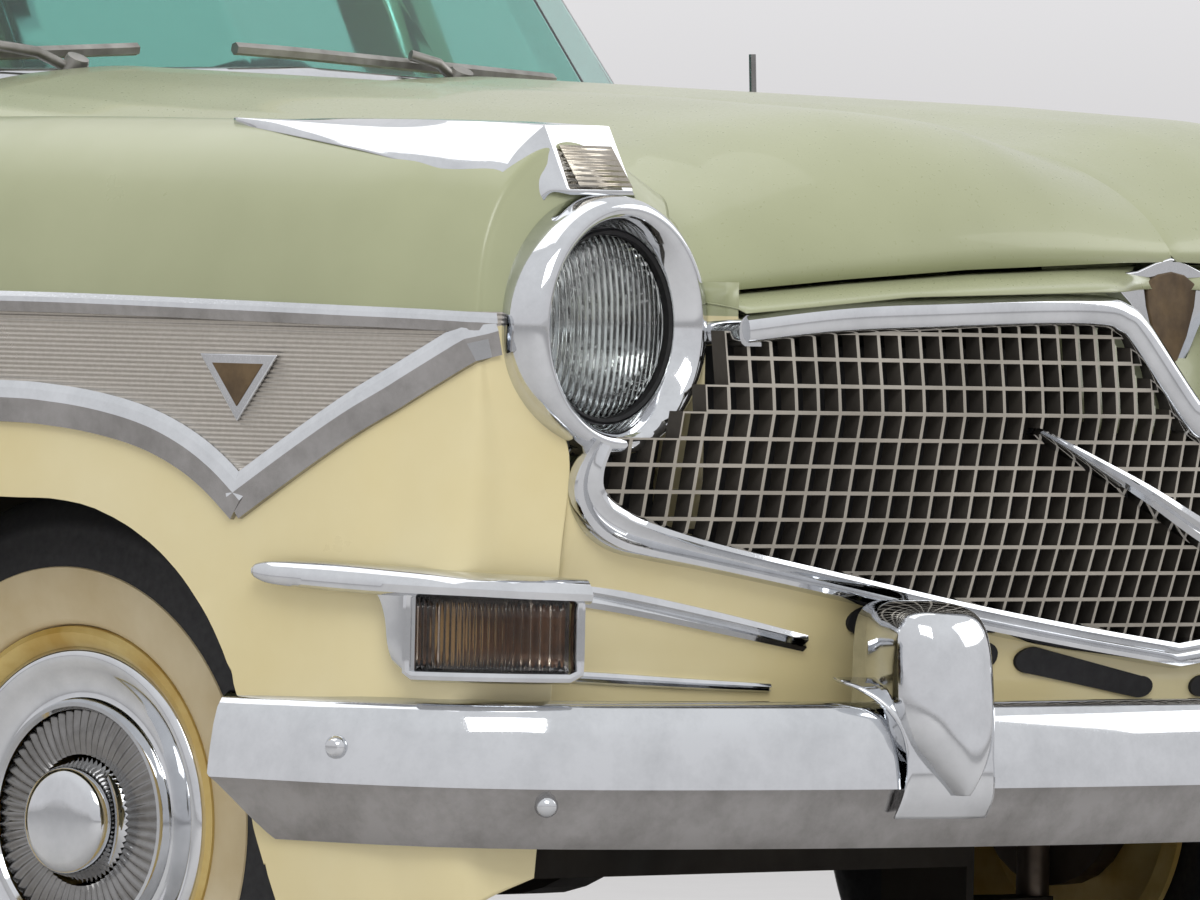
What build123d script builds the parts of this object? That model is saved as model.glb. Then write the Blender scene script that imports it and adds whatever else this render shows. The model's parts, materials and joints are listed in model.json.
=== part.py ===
from build123d import *
import os
from math import acos, ceil, cos, radians, sin, tan

# A full-size four-door saloon of the late 1950s, left-hand drive.
# Millimetres. X points to the car's left, -Y to its front, Z up; the origin is on
# the ground below the middle of the overall length.
# Outlines are rows of (across, up, corner radius); a radius of 0 is a sharp corner.
# Arcs and turned shapes are made of flats, which keeps so large a model light.

os.makedirs("parts", exist_ok=True)

# Overall
NOSE_Y = -2630            # front face of the bumper guards
TAIL_Y = 2630             # rear face of the rear bumper guards
SIDE_X = 970              # widest point of the body side
SKIN = 14                 # wall of the outer panels
SHUT_GAP = 6              # gap round doors, bonnet and boot
FRAME_GAP = 16            # gap between window frames, which swing past each other
RUN_GAP = 0.3             # seat clearance of a piece held in another
SAGITTA = 1.5             # how deep an arc may bulge over one of its flats
ROUND_FLATS = 32          # flats round a wheel, a tyre or a lamp

# Wheels and axles
FRONT_AXLE_Y = -1740
WHEELBASE = 3100
REAR_AXLE_Y = FRONT_AXLE_Y + WHEELBASE
TYRE_R = 330
TYRE_W = 196
BEAD_R = 182              # where the tyre's bead sits
WHEEL_X = 755             # wheel centre from the middle of the car
KINGPIN_X = 650
ARCH_R = 352              # half width of the wheel opening
ARCH_TOP_Z = 655

# Front surface: a drum about a vertical axis, leaning back toward its foot
FRONT_Y = -2530
FRONT_R = 2752
DRUM_Y = FRONT_Y + FRONT_R
LEAN_TABLE = (            # height, how far the drum's radius shrinks there
    (905, 18),
    (760, 0),
    (515, 62),
    (330, 85),
)

# Heights of the body
SILL_Z = 240
DOOR_LOW_Z = 300
BELT_Z = 1008
FLOOR_Z = 310
SHEET = 15                # thickness of floor and inner panels
ROOF_Z = 1530
ROOF_T = 24
ROOF_HALF_X = 704
HEAD_Z = ROOF_Z - 93      # where the plane of the side windows meets the roof
BELT_X = 884              # outer plane of the side windows at the belt
TUMBLE = (BELT_X - ROOF_HALF_X) / (HEAD_Z - BELT_Z)

# Doors: front and rear edge
DOOR_INNER_X = 856
POST_X = 848              # outer face of the body's door posts
FRAME_T = 32              # thickness of the window frames
GLASS_T = 6
FRONT_DOOR_Y = (-1000, 0)
REAR_DOOR_Y = (FRONT_DOOR_Y[1] + SHUT_GAP, 950)
HINGE_X = 971

# Bonnet, cowl and boot
HOOD_EDGE_X = 636
HOOD_REAR_Y = -1262
LIP_SETBACK = 75          # bonnet lip behind the front drum
COWL_FRONT_Y = HOOD_REAR_Y + SHUT_GAP
FIREWALL_Y = -1230
BOOT_EDGE_X = 690
BOOT_FRONT_Y = 1650
BOOT_REAR_Y = 2480
BOOT_LOW_Z = 640
BOOT_T = 18

# Headlamps
LAMP_X = 770
LAMP_Z = 837
LAMP_RIM_R = 127
LAMP_LIP_R = 112
LENS_R = 88
POD_FRONT_Y = -2392
LAMP_PROUD = 28

# Grille
CELL = 52.6               # bar pitch
BAR = 6

# Chassis
RAIL_X = (400, 470)
RAIL_TOP_Z = FLOOR_Z - SHEET

SIDES = (("left", 1), ("right", -1))


def corner_points(rows, index):
    """Points along the arc that rounds one corner of an outline.

    An arc that its two sides have no room for is made smaller.
    """
    corner = Vector(*rows[index][:2])
    back = Vector(*rows[index - 1][:2]) - corner
    ahead = Vector(*rows[(index + 1) % len(rows)][:2]) - corner
    turn = radians(180 - back.get_angle(ahead))
    room = 0.49 * min(back.length, ahead.length)
    reach = min(rows[index][2] * tan(turn / 2), room)
    if reach < 0.01:
        return [corner]
    radius = reach / tan(turn / 2)
    start = corner + back.normalized() * reach
    end = corner + ahead.normalized() * reach
    centre = corner + (start + end - corner * 2).normalized() * (radius / cos(turn / 2))
    flats = ceil(turn / (2 * acos(1 - min(SAGITTA / radius, 0.3))))
    return [
        centre
        + (start - centre) * (sin(turn * (1 - i / flats)) / sin(turn))
        + (end - centre) * (sin(turn * i / flats) / sin(turn))
        for i in range(flats + 1)
    ]


def face_on(plane, points):
    """Face on a plane from the points of its outline."""
    with BuildSketch(plane) as face:
        with BuildLine():
            Polyline(*points, close=True)
        make_face()
    return face.sketch


def outline(plane, rows):
    """Face on a plane from rows of (a, b, corner radius)."""
    return face_on(plane, [
        point for index in range(len(rows)) for point in corner_points(rows, index)
    ])


def faceted(plane, rows):
    """The same face with each arc as two flats, for lofts that change shape."""
    points = []
    for index, row in enumerate(rows):
        arc = corner_points(rows, index)
        middle = arc[len(arc) // 2]
        if len(arc) % 2 == 0:
            middle = (middle + arc[len(arc) // 2 - 1]) * 0.5
        points += [arc[0], middle, arc[-1]] if row[2] else arc[:1]
    return face_on(plane, points)


def turned_flats(rows, axis_point, axis, radial, half_angle, steps, mode=Mode.ADD):
    """Turn (radius, distance along the axis) rows through flats about an axis.

    Radial is the middle direction; the arc reaches half_angle to both sides of it.
    """
    axis, radial = Vector(*axis), Vector(*radial)
    faces = []
    for step in range(steps + 1):
        angle = half_angle * (2 * step / steps - 1)
        out = radial.rotate(Axis((0, 0, 0), axis), angle)
        plane = Plane(origin=axis_point, x_dir=out, z_dir=out.cross(axis))
        faces.append(outline(plane, rows))
    loft(faces, ruled=True, mode=mode)


def side_slab(rows, x_span, mode=Mode.ADD):
    """Fill a (Y, Z) outline across the car."""
    face = outline(Plane.YZ.offset(x_span[0]), rows)
    extrude(face, amount=x_span[1] - x_span[0], mode=mode)


def front_slab(rows, y_span, mode=Mode.ADD):
    """Fill an (X, Z) outline along the car."""
    face = outline(Plane.XZ.offset(-y_span[1]), rows)
    extrude(face, amount=y_span[1] - y_span[0], mode=mode)


def plan_slab(rows, z_span, mode=Mode.ADD):
    """Fill an (X, Y) outline upward."""
    face = outline(Plane.XY.offset(z_span[0]), rows)
    extrude(face, amount=z_span[1] - z_span[0], mode=mode)


def block(x_span, y_span, z_span, mode=Mode.ADD):
    """Box from its spans."""
    spans = (x_span, y_span, z_span)
    with Locations(tuple((low + high) / 2 for low, high in spans)):
        Box(*[high - low for low, high in spans], mode=mode)


def pipe(start, end, radius, mode=Mode.ADD):
    """Round bar between two points."""
    run = Vector(*end) - Vector(*start)
    with BuildSketch(Plane(origin=start, z_dir=run.normalized())) as disc:
        Circle(radius)
    extrude(disc.sketch, amount=run.length, mode=mode)


def stack(rows, centre, axis, mode=Mode.ADD, sides=ROUND_FLATS):
    """Round shape of flats from rows of (radius, distance along the axis)."""
    along = Vector(*axis)
    faces = []
    for radius, distance in rows:
        plane = Plane(
            origin=Vector(*centre) + along * distance,
            x_dir=(0, 0, 1),
            z_dir=along,
        )
        with BuildSketch(plane) as polygon:
            RegularPolygon(radius, sides, major_radius=False, rotation=180 / sides)
        faces.append(polygon.sketch)
    loft(faces, ruled=True, mode=mode)


def bar(start, end, radius, sides=16):
    """Round bar that nothing turns on, made of flats."""
    run = Vector(*end) - Vector(*start)
    with BuildSketch(Plane(origin=start, z_dir=run.normalized())) as polygon:
        RegularPolygon(radius, sides)
    extrude(polygon.sketch, amount=run.length)


def front_drum(out, thick):
    """The curved front surface moved forward by out, thick deep."""
    face = [(FRONT_R - lean + out, z, 0) for z, lean in LEAN_TABLE]
    back = [(r - thick, z, 0) for r, z, _ in reversed(face)]
    turned_flats(face + back, (0, DRUM_Y, 0), (0, 0, 1), (0, -1, 0), 20, 16)


def window_plane_x(z, depth=0):
    """X of the leaning side-window plane at height z, depth mm inside it."""
    return BELT_X - depth - TUMBLE * (z - BELT_Z)


def mirrored(solid):
    """The same piece on the car's right."""
    return solid.mirror(Plane.YZ)


def save(builder, label):
    builder.part.label = label
    export_step(builder.part, f"parts/{label}.step")


def save_both(builder, label):
    """Write the left piece and its mirror image as one label."""
    with BuildPart() as both:
        add(builder.part)
        add(mirrored(builder.part))
    save(both, label)


def save_pair(builder, name):
    """Write the left piece and its mirror image."""
    for side, sign in SIDES:
        piece = builder.part if sign > 0 else mirrored(builder.part)
        piece.label = f"{name}_{side}"
        export_step(piece, f"parts/{name}_{side}.step")


# Body side. Columns: Y, widest X, crown X, crown Z, inner edge X, inner edge Z.
FENDER_STATIONS = (
    (POD_FRONT_Y, 912, 800, 1030, 642, 968),
    (-2150, 956, 832, 1036, 642, 985),
    (FRONT_AXLE_Y, 966, 846, 1037, 642, 1000),
    (FRONT_DOOR_Y[0] - SHUT_GAP, SIDE_X, 872, 1020, 642, 1035),
)
QUARTER_STATIONS = (
    (REAR_DOOR_Y[1] + SHUT_GAP, SIDE_X, 880, BELT_Z + 2, 790, BELT_Z),
    (REAR_AXLE_Y, 966, 868, 1016, 700, 1004),
    (1900, 955, 850, 1030, BOOT_EDGE_X + SHUT_GAP, 1010),
    (BOOT_REAR_Y + 20, 925, 822, 1046, BOOT_EDGE_X + SHUT_GAP, 996),
)


def skin_ring(station, low_z):
    """Cross-section of a thin body side that curls over to its inner edge."""
    _, side, crown_x, crown_z, inner_x, inner_z = station
    outer = (
        (side - 30, low_z, 0),
        (side, low_z + 190, 700),
        (side, crown_z - 60, 115),
        (crown_x, crown_z, 85),
        (inner_x, inner_z, 0),
    )
    inner = (
        (inner_x, inner_z - SKIN, 0),
        (crown_x - 4, crown_z - 2 * SKIN, 0),
        (side - SKIN - 10, crown_z - 75, 0),
        (side - SKIN, crown_z - 140, 0),
        (side - SKIN, low_z + 190, 0),
        (side - 30 - SKIN, low_z, 0),
    )
    return outer + inner


def full_section(station, low_z):
    """The same cross-section filled to its inner edge."""
    _, side, crown_x, crown_z, inner_x, inner_z = station
    return (
        (side - 30, low_z, 0),
        (side, low_z + 190, 700),
        (side, crown_z - 60, 115),
        (crown_x, crown_z, 85),
        (inner_x, inner_z, 0),
        (inner_x, low_z, 0),
    )


def loft_sections(stations, section, low_z, mode=Mode.ADD):
    """Loft one section function through rows of stations."""
    faces = [
        faceted(Plane.XZ.offset(-row[0]), section(row, low_z)) for row in stations
    ]
    loft(faces, ruled=True, mode=mode)


def arch_rows(axle_y, top_z, half, flare):
    """Side outline of a wheel opening, flared toward its front foot."""
    return (
        (axle_y - half - flare, 100, 0),
        (axle_y - half, 345, 150),
        (axle_y - half, top_z, 275),
        (axle_y + half, top_z, 275),
        (axle_y + half, 345, 150),
        (axle_y + half + 12, 100, 0),
    )


FRONT_ARCH = arch_rows(FRONT_AXLE_Y, ARCH_TOP_Z, ARCH_R, 70)
REAR_ARCH = arch_rows(REAR_AXLE_Y, ARCH_TOP_Z - 35, ARCH_R, 12)
WIDE = (-1200, 1200)
VALANCE_X = 826
VALANCE_TOP_Z = 628

# Grille opening as seen from in front, from the middle to the car's left.
GRILLE_EDGE = (
    (0, 727), (61, 738), (140, 830), (182, 844), (262, 844),
    (527, 833), (650, 818), (692, 790), (790, 712), (787, 672),
    (757, 650), (693, 637), (322, 569), (0, 524),
)
FRAME_EDGE = (
    (0, 757), (40, 762), (118, 850), (165, 876), (263, 876),
    (528, 865), (668, 848), (722, 800), (820, 722), (833, 672),
    (803, 631), (737, 617), (322, 546), (0, 505),
)


def both_sides(points, radius):
    """A left-hand outline and its mirror image as one closed outline."""
    right = [(-x, z) for x, z in reversed(points) if x > 0]
    return [(x, z, radius) for x, z in list(points) + right]


# Front wings with their lamp pods and inner panels
with BuildPart() as fender_skin:
    loft_sections(FENDER_STATIONS, skin_ring, SILL_Z)
with BuildPart() as pod:
    loft_sections(FENDER_STATIONS[:2], full_section, SILL_Z + 25)
    plan_slab(
        (
            (600, -2155, 0),
            (980, -2155, 0),
            (962, -2230, 200),
            (908, POD_FRONT_Y + 2, 60),
            (600, POD_FRONT_Y - 4, 0),
        ),
        (200, 1100),
        mode=Mode.INTERSECT,
    )
with BuildPart() as fender:
    add(fender_skin.part)
    plan_slab(
        (
            (500, POD_FRONT_Y - 40, 0),
            (1000, POD_FRONT_Y - 40, 0),
            (1000, -2160, 0),
            (500, -2160, 0),
        ),
        (200, 1100),
        mode=Mode.SUBTRACT,
    )
    add(pod.part)
    # inner panel over the wheel
    front_slab(
        (
            (642, 740, 0),
            (642, 975, 0),
            (656, 975, 0),
            (656, 728, 0),
            (498, 728, 0),
            (498, 480, 0),
            (486, 480, 0),
            (486, 740, 0),
        ),
        (-2160, FIREWALL_Y),
    )
    side_slab(FRONT_ARCH, (700, 1100), mode=Mode.SUBTRACT)
    pipe(
        (LAMP_X, POD_FRONT_Y - 20, LAMP_Z),
        (LAMP_X, POD_FRONT_Y + 120, LAMP_Z),
        LAMP_LIP_R + 6,
        mode=Mode.SUBTRACT,
    )
    # the grille runs outboard under the lamp
    front_slab(both_sides(FRAME_EDGE, 0), (-2700, -2340), mode=Mode.SUBTRACT)
    # the lower corner is rounder than the pod above it and ends at the valance
    plan_slab(
        (
            (1100, -2150, 0),
            (962, -2150, 300),
            (928, -2312, 120),
            (VALANCE_X, -2372, 0),
            (VALANCE_X, -2500, 0),
            (1100, -2500, 0),
        ),
        (200, 602),
        mode=Mode.SUBTRACT,
    )
    block((600, VALANCE_X), (-2500, -2150), (200, VALANCE_TOP_Z), mode=Mode.SUBTRACT)
save_both(fender, "front_fenders")

# Valance under the grille, with its air slots
SLOTS = (                 # middle X, width, middle Z
    (-420, 198, 541),
    (-195, 205, 501),
    (0, 130, 475),
    (195, 205, 501),
    (420, 198, 541),
)
with BuildPart() as valance:
    front_drum(-6, SKIN)
    front_slab(
        (
            (-VALANCE_X, 330, 0),
            (VALANCE_X, 330, 0),
            (VALANCE_X, VALANCE_TOP_Z, 0),
            (737, 616, 0),
            (322, 545, 0),
            (0, 504, 0),
            (-322, 545, 0),
            (-737, 616, 0),
            (-VALANCE_X, VALANCE_TOP_Z, 0),
        ),
        (-2700, -2200),
        mode=Mode.INTERSECT,
    )
    # notches for the bumper's brackets
    for x in (-RAIL_X[0] - 35, RAIL_X[0] + 35):
        block((x - 41, x + 41), (-2700, -2200), (300, 426), mode=Mode.SUBTRACT)
    for x, width, z in SLOTS:
        block(
            (x - width / 2, x + width / 2),
            (-2700, -2200),
            (z - 14, z + 14),
            mode=Mode.SUBTRACT,
        )
save(valance, "valance")

# Nose panel: a shelf from the grille up to the bonnet lip, with the dip's filler
SHELF_REAR_R = FRONT_R - LIP_SETBACK + 12
SHELF_STATIONS = (        # X, front Z, rear Z
    (0, 882, 905),
    (200, 880, 903),
    (450, 873, 889),
    (640, 857, 872),
)


def shelf_section(x, front_z, rear_z):
    """Side section of the shelf at one X, following the front's curve."""
    front_y = DRUM_Y - ((FRONT_R + 2) ** 2 - x**2) ** 0.5
    rear_y = DRUM_Y - (SHELF_REAR_R**2 - x**2) ** 0.5
    with BuildSketch(Plane.YZ.offset(x)) as face:
        with BuildLine():
            Polyline(
                (front_y, front_z),
                (rear_y, rear_z),
                (rear_y, rear_z - SKIN),
                (front_y + 34, front_z),
                close=True,
            )
        make_face()
    return face.sketch


with BuildPart() as dip:
    front_drum(-22.3, 12)
    front_slab(
        ((-190, 884, 0), (-110, 800, 0), (0, 720, 0), (110, 800, 0), (190, 884, 0)),
        (-2700, -2200),
        mode=Mode.INTERSECT,
    )
with BuildPart() as nose_panel:
    stations = [(-x, a, b) for x, a, b in reversed(SHELF_STATIONS[1:])]
    stations += SHELF_STATIONS
    loft([shelf_section(*row) for row in stations], ruled=True)
    add(dip.part)
save(nose_panel, "nose_panel")


def clear_of_lamps():
    """Cut the grille back round the headlamp rims."""
    for sign in (1, -1):
        pipe(
            (sign * LAMP_X, -2700, LAMP_Z),
            (sign * LAMP_X, -2300, LAMP_Z),
            LAMP_RIM_R + 2,
            mode=Mode.SUBTRACT,
        )


# Grille frame and egg-crate grille
with BuildPart() as grille_frame:
    front_drum(12, 34)
    front_slab(both_sides(FRAME_EDGE, 0), (-2700, -2200), mode=Mode.INTERSECT)
    front_slab(both_sides(GRILLE_EDGE, 0), (-2700, -2200), mode=Mode.SUBTRACT)
    clear_of_lamps()
save(grille_frame, "grille_frame")

with BuildPart() as grille:
    front_drum(-2, 20)
    front_slab(both_sides(GRILLE_EDGE, 0), (-2700, -2200), mode=Mode.INTERSECT)
    with BuildSketch(Plane.XZ.offset(2200)) as cells:
        with Locations((0, 690)):
            with GridLocations(CELL, CELL, 29, 7):
                Rectangle(CELL - BAR, CELL - BAR)
    with BuildSketch(Plane.XZ.offset(2200)) as inside:
        with BuildLine():
            Polyline(*[(x, z) for x, z, _ in both_sides(GRILLE_EDGE, 0)], close=True)
        make_face()
        offset(amount=-BAR, kind=Kind.INTERSECTION)
        add(cells.sketch, mode=Mode.INTERSECT)
    extrude(inside.sketch, amount=500, mode=Mode.SUBTRACT)
    clear_of_lamps()
save(grille, "grille")

# Lamps. The parking lamp wraps round the lower corner of the wing.
FORWARD = (0, -1, 0)
OUTWARD = (1, 0, 0)
PARK_Z = (492, 592)
PARK_OUTER = ((972, -2120, 0), (973, -2170, 200), (938, -2337, 122), (800, -2408, 0))
PARK_INNER = ((794, -2393, 0), (924.4, -2325, 110), (959, -2170, 190), (957.3, -2120, 0))
PARK_GLASS = ((970, -2120, 0), (971, -2170, 200), (934, -2335, 118), (800, -2404, 0))
PARK_WINDOW_Y = (-2372, -2225)

with BuildPart() as park_bezel:
    plan_slab(PARK_OUTER + PARK_INNER, PARK_Z)
    block(
        (700, 1000),
        PARK_WINDOW_Y,
        (PARK_Z[0] + 14, PARK_Z[1] - 14),
        mode=Mode.SUBTRACT,
    )
with BuildPart() as lamp_rim:
    lamp_centre = (LAMP_X, POD_FRONT_Y, LAMP_Z)
    stack(((LAMP_LIP_R, -70), (LAMP_LIP_R, 0)), lamp_centre, FORWARD)
    stack(
        ((LAMP_RIM_R, 0), (LAMP_RIM_R, 18), (LAMP_RIM_R - 9, LAMP_PROUD)),
        lamp_centre,
        FORWARD,
    )
    stack(
        ((LENS_R - 12, -71), (LENS_R - 12, -39)), lamp_centre, FORWARD, Mode.SUBTRACT
    )
    stack(
        (
            (LENS_R + RUN_GAP, -40),
            (LENS_R + RUN_GAP, -12),
            (LAMP_LIP_R - 4, LAMP_PROUD + 0.1),
        ),
        lamp_centre,
        FORWARD,
        Mode.SUBTRACT,
    )
with BuildPart() as front_lamps:
    for piece in (lamp_rim.part, park_bezel.part):
        add(piece)
        add(mirrored(piece))
save(front_lamps, "front_lamps")

with BuildPart() as lamp_lens:
    stack(
        ((LENS_R, -40), (LENS_R, -14), (LENS_R * 0.55, -2), (LENS_R * 0.1, 2)),
        lamp_centre,
        FORWARD,
    )
with BuildPart() as park_lens:
    plan_slab(
        PARK_GLASS + PARK_INNER,
        (PARK_Z[0] + 14 + RUN_GAP, PARK_Z[1] - 14 - RUN_GAP),
    )
    block(
        (700, 1000),
        (PARK_WINDOW_Y[0] + RUN_GAP, PARK_WINDOW_Y[1] - RUN_GAP),
        PARK_Z,
        mode=Mode.INTERSECT,
    )
with BuildPart() as lamp_lenses:
    for piece in (lamp_lens.part, park_lens.part):
        add(piece)
        add(mirrored(piece))
save(lamp_lenses, "lamp_lenses")

# Front bumper: a channel that wraps the corners, with two shield guards
BUMPER_Z = (330, 455)
CREASE_Z = 392
BUMPER_SIDE_X = 982
GUARD_X = 475
BRACKET_Y = -2440


def bumper_plan(inset, face_y, side_x, end_y, sweep):
    """Plan outline of a wrap-round bumper, from one end to the other."""
    half = (
        (side_x - inset, end_y, 0),
        (side_x - inset, face_y + sweep[0] + inset, 130),
        (720, face_y + sweep[1] + inset, 900),
        (0, face_y + inset, 3000),
    )
    mirror_half = tuple((-x, y, r) for x, y, r in reversed(half[:3]))
    return half + mirror_half


BUMPER_FACE_Y = -2578
BUMPER_END_Y = -2058
BUMPER_SWEEP = (210, 88)
BUMPER_WALL = 16
BUMPER_LIP = 24
with BuildPart() as front_bumper:
    shape = (BUMPER_FACE_Y, BUMPER_SIDE_X)
    plan_slab(bumper_plan(0, *shape, BUMPER_END_Y, BUMPER_SWEEP), BUMPER_Z)
    chamfer(
        front_bumper.edges().group_by(Axis.Z)[-1].filter_by(
            lambda edge: edge.center().Y < BUMPER_END_Y - 5
        ),
        length=14,
    )
    for inset, top_z in (
        (BUMPER_WALL, BUMPER_Z[1] - BUMPER_WALL),
        (BUMPER_LIP, BUMPER_Z[1] + 1),
    ):
        plan_slab(
            bumper_plan(inset, *shape, BUMPER_END_Y + 1, BUMPER_SWEEP),
            (BUMPER_Z[0] - 1, top_z),
            mode=Mode.SUBTRACT,
        )
    for sign in (1, -1):
        # guard: domed top, tapering to a point below the face
        front_slab(
            (
                (sign * (GUARD_X - 62), 470, 0),
                (sign * (GUARD_X - 58), 566, 30),
                (sign * (GUARD_X + 58), 566, 30),
                (sign * (GUARD_X + 62), 470, 0),
                (sign * (GUARD_X + 36), 352, 20),
                (sign * (GUARD_X - 36), 352, 20),
            ),
            (NOSE_Y, -2512),
        )
        # bracket back to the frame horn
        block(
            tuple(sorted((sign * RAIL_X[0], sign * RAIL_X[1]))),
            (-2532, BRACKET_Y),
            (340, 420),
        )
save(front_bumper, "front_bumper")

REAR_BUMPER_Z = (350, 470)
REAR_BUMPER_X = 974
REAR_BUMPER_END_Y = 2120
REAR_SWEEP = (100, 40)


def rear_plan(inset, end_y):
    """Plan outline of the rear bumper."""
    rows = bumper_plan(inset, BUMPER_FACE_Y, REAR_BUMPER_X, -end_y, REAR_SWEEP)
    return [(x, -y, r) for x, y, r in rows]


with BuildPart() as rear_bumper:
    plan_slab(rear_plan(0, REAR_BUMPER_END_Y), REAR_BUMPER_Z)
    for inset, top_z in (
        (BUMPER_WALL, REAR_BUMPER_Z[1] - BUMPER_WALL),
        (BUMPER_LIP, REAR_BUMPER_Z[1] + 1),
    ):
        plan_slab(
            rear_plan(inset, REAR_BUMPER_END_Y - 1),
            (REAR_BUMPER_Z[0] - 1, top_z),
            mode=Mode.SUBTRACT,
        )
    for sign in (1, -1):
        block(
            tuple(sorted((sign * (GUARD_X - 45), sign * (GUARD_X + 45)))),
            (2512, TAIL_Y),
            (360, 560),
        )
        block(
            tuple(sorted((sign * RAIL_X[0], sign * RAIL_X[1]))),
            (-BRACKET_Y, 2532),
            (310, 385),
        )
save(rear_bumper, "rear_bumper")

# Bonnet: two long bulges with a trough between them, over a rounded nose.
# Columns: Y, edge Z, bulge Z, trough Z.
HOOD_STATIONS = (
    (-2300, 968, 1052, 1040),
    (-2000, 992, 1068, 1050),
    (-1600, 1008, 1082, 1062),
    (HOOD_REAR_Y, 1036, 1094, 1082),
)
BULGE_X = 290
HOOD_T = 18
NOSE_HALF_ARC = 26        # reaches the bonnet's rear corners


def hood_section(station, drop):
    """Bonnet cross-section from below its edges up to the bulges."""
    _, edge_z, bulge_z, trough_z = station
    left = (
        (HOOD_EDGE_X - drop, 860 - drop, 0),
        (HOOD_EDGE_X - drop, edge_z - drop, 40),
        (BULGE_X, bulge_z - drop, 260),
        (0, trough_z - drop, 60),
    )
    right = tuple((-x, z, r) for x, z, r in reversed(left[:3]))
    return left + right


def hood_solid(drop, front_y):
    """Bonnet as a filled body, drop mm inside its skin."""
    front = (front_y,) + HOOD_STATIONS[0][1:]
    back = (HOOD_REAR_Y + (1 if drop else 0),) + HOOD_STATIONS[-1][1:]
    rows = (front,) + HOOD_STATIONS[:-1] + (back,)
    loft_sections(rows, hood_section, drop)


def nose_rows(drop):
    """Side outline of the bonnet's nose as distance from the front drum's axis."""
    lip = FRONT_R - LIP_SETBACK - drop
    return (
        (lip, 840, 0),
        (lip, 905, 40),
        (lip - 62, 1015 - drop, 120),
        (lip - 330, 1068 - drop, 500),
        (lip - 900, 1100, 0),
        (lip - 1900, 1110, 0),
        (lip - 1900, 840, 0),
    )


def nose_drum(drop, mode):
    """The bonnet's nose turned about the front drum's axis."""
    turned_flats(
        nose_rows(drop), (0, DRUM_Y, 0), (0, 0, 1), (0, -1, 0), NOSE_HALF_ARC, 16, mode
    )


HOOD_CUT = ((-2240, 935), (HOOD_REAR_Y + 100, 1000))


def hood_flange_z(y):
    """Height of the lower edge of the bonnet's side flange."""
    (front_y, front_z), (back_y, back_z) = HOOD_CUT
    return front_z + (back_z - front_z) * (y - front_y) / (back_y - front_y)


with BuildPart() as hood_hollow:
    hood_solid(HOOD_T, -2500)
    nose_drum(HOOD_T, Mode.INTERSECT)
with BuildPart() as hood:
    hood_solid(0, -2500)
    nose_drum(0, Mode.INTERSECT)
    add(hood_hollow.part, mode=Mode.SUBTRACT)
    side_slab(
        (
            (-2700, 700, 0),
            (-2700, 868, 0),
            (-2350, 868, 0),
            (*HOOD_CUT[0], 0),
            (*HOOD_CUT[1], 0),
            (HOOD_REAR_Y + 100, 700, 0),
        ),
        WIDE,
        mode=Mode.SUBTRACT,
    )
save(hood, "hood")

# Cowl: firewall, door pillars and the vented top under the windscreen
COWL_Z = (1012, 1082)     # at the sides and in the middle
POST_FOOT_Z = BELT_Z - 8
GLASS_BASE = ((822, -700, 0), (822, -1150, 430), (0, -1270, 2400))
GLASS_TOP = ((641, -640, 0), (641, -866, 300), (0, -940, 2400))
GLASS_Z = (POST_FOOT_Z, ROOF_Z - 78)


def bent_ring(rows, thick):
    """Plan outline of a bent sheet: rows to the left, mirrored to the right."""
    outer = tuple(rows) + tuple((-x, y, r) for x, y, r in reversed(rows[:-1]))
    forward = -1 if rows[-1][1] < rows[0][1] else 1
    inner = tuple(
        (
            x - thick * ((x > 0) - (x < 0)),
            y if index in (0, len(outer) - 1) else y - forward * thick,
            max(r - thick, 0),
        )
        for index, (x, y, r) in enumerate(outer)
    )
    return outer + tuple(reversed(inner))


def crown_rows(edge_x, edge_z, middle_z, low_z):
    """Front outline of a panel crowned from its edges to the middle."""
    return (
        (edge_x, low_z, 0),
        (edge_x, edge_z, 0),
        (edge_x * 0.5, edge_z + (middle_z - edge_z) * 0.86, 900),
        (0, middle_z + 4, 2500),
        (-edge_x * 0.5, edge_z + (middle_z - edge_z) * 0.86, 900),
        (-edge_x, edge_z, 0),
        (-edge_x, low_z, 0),
    )


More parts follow.
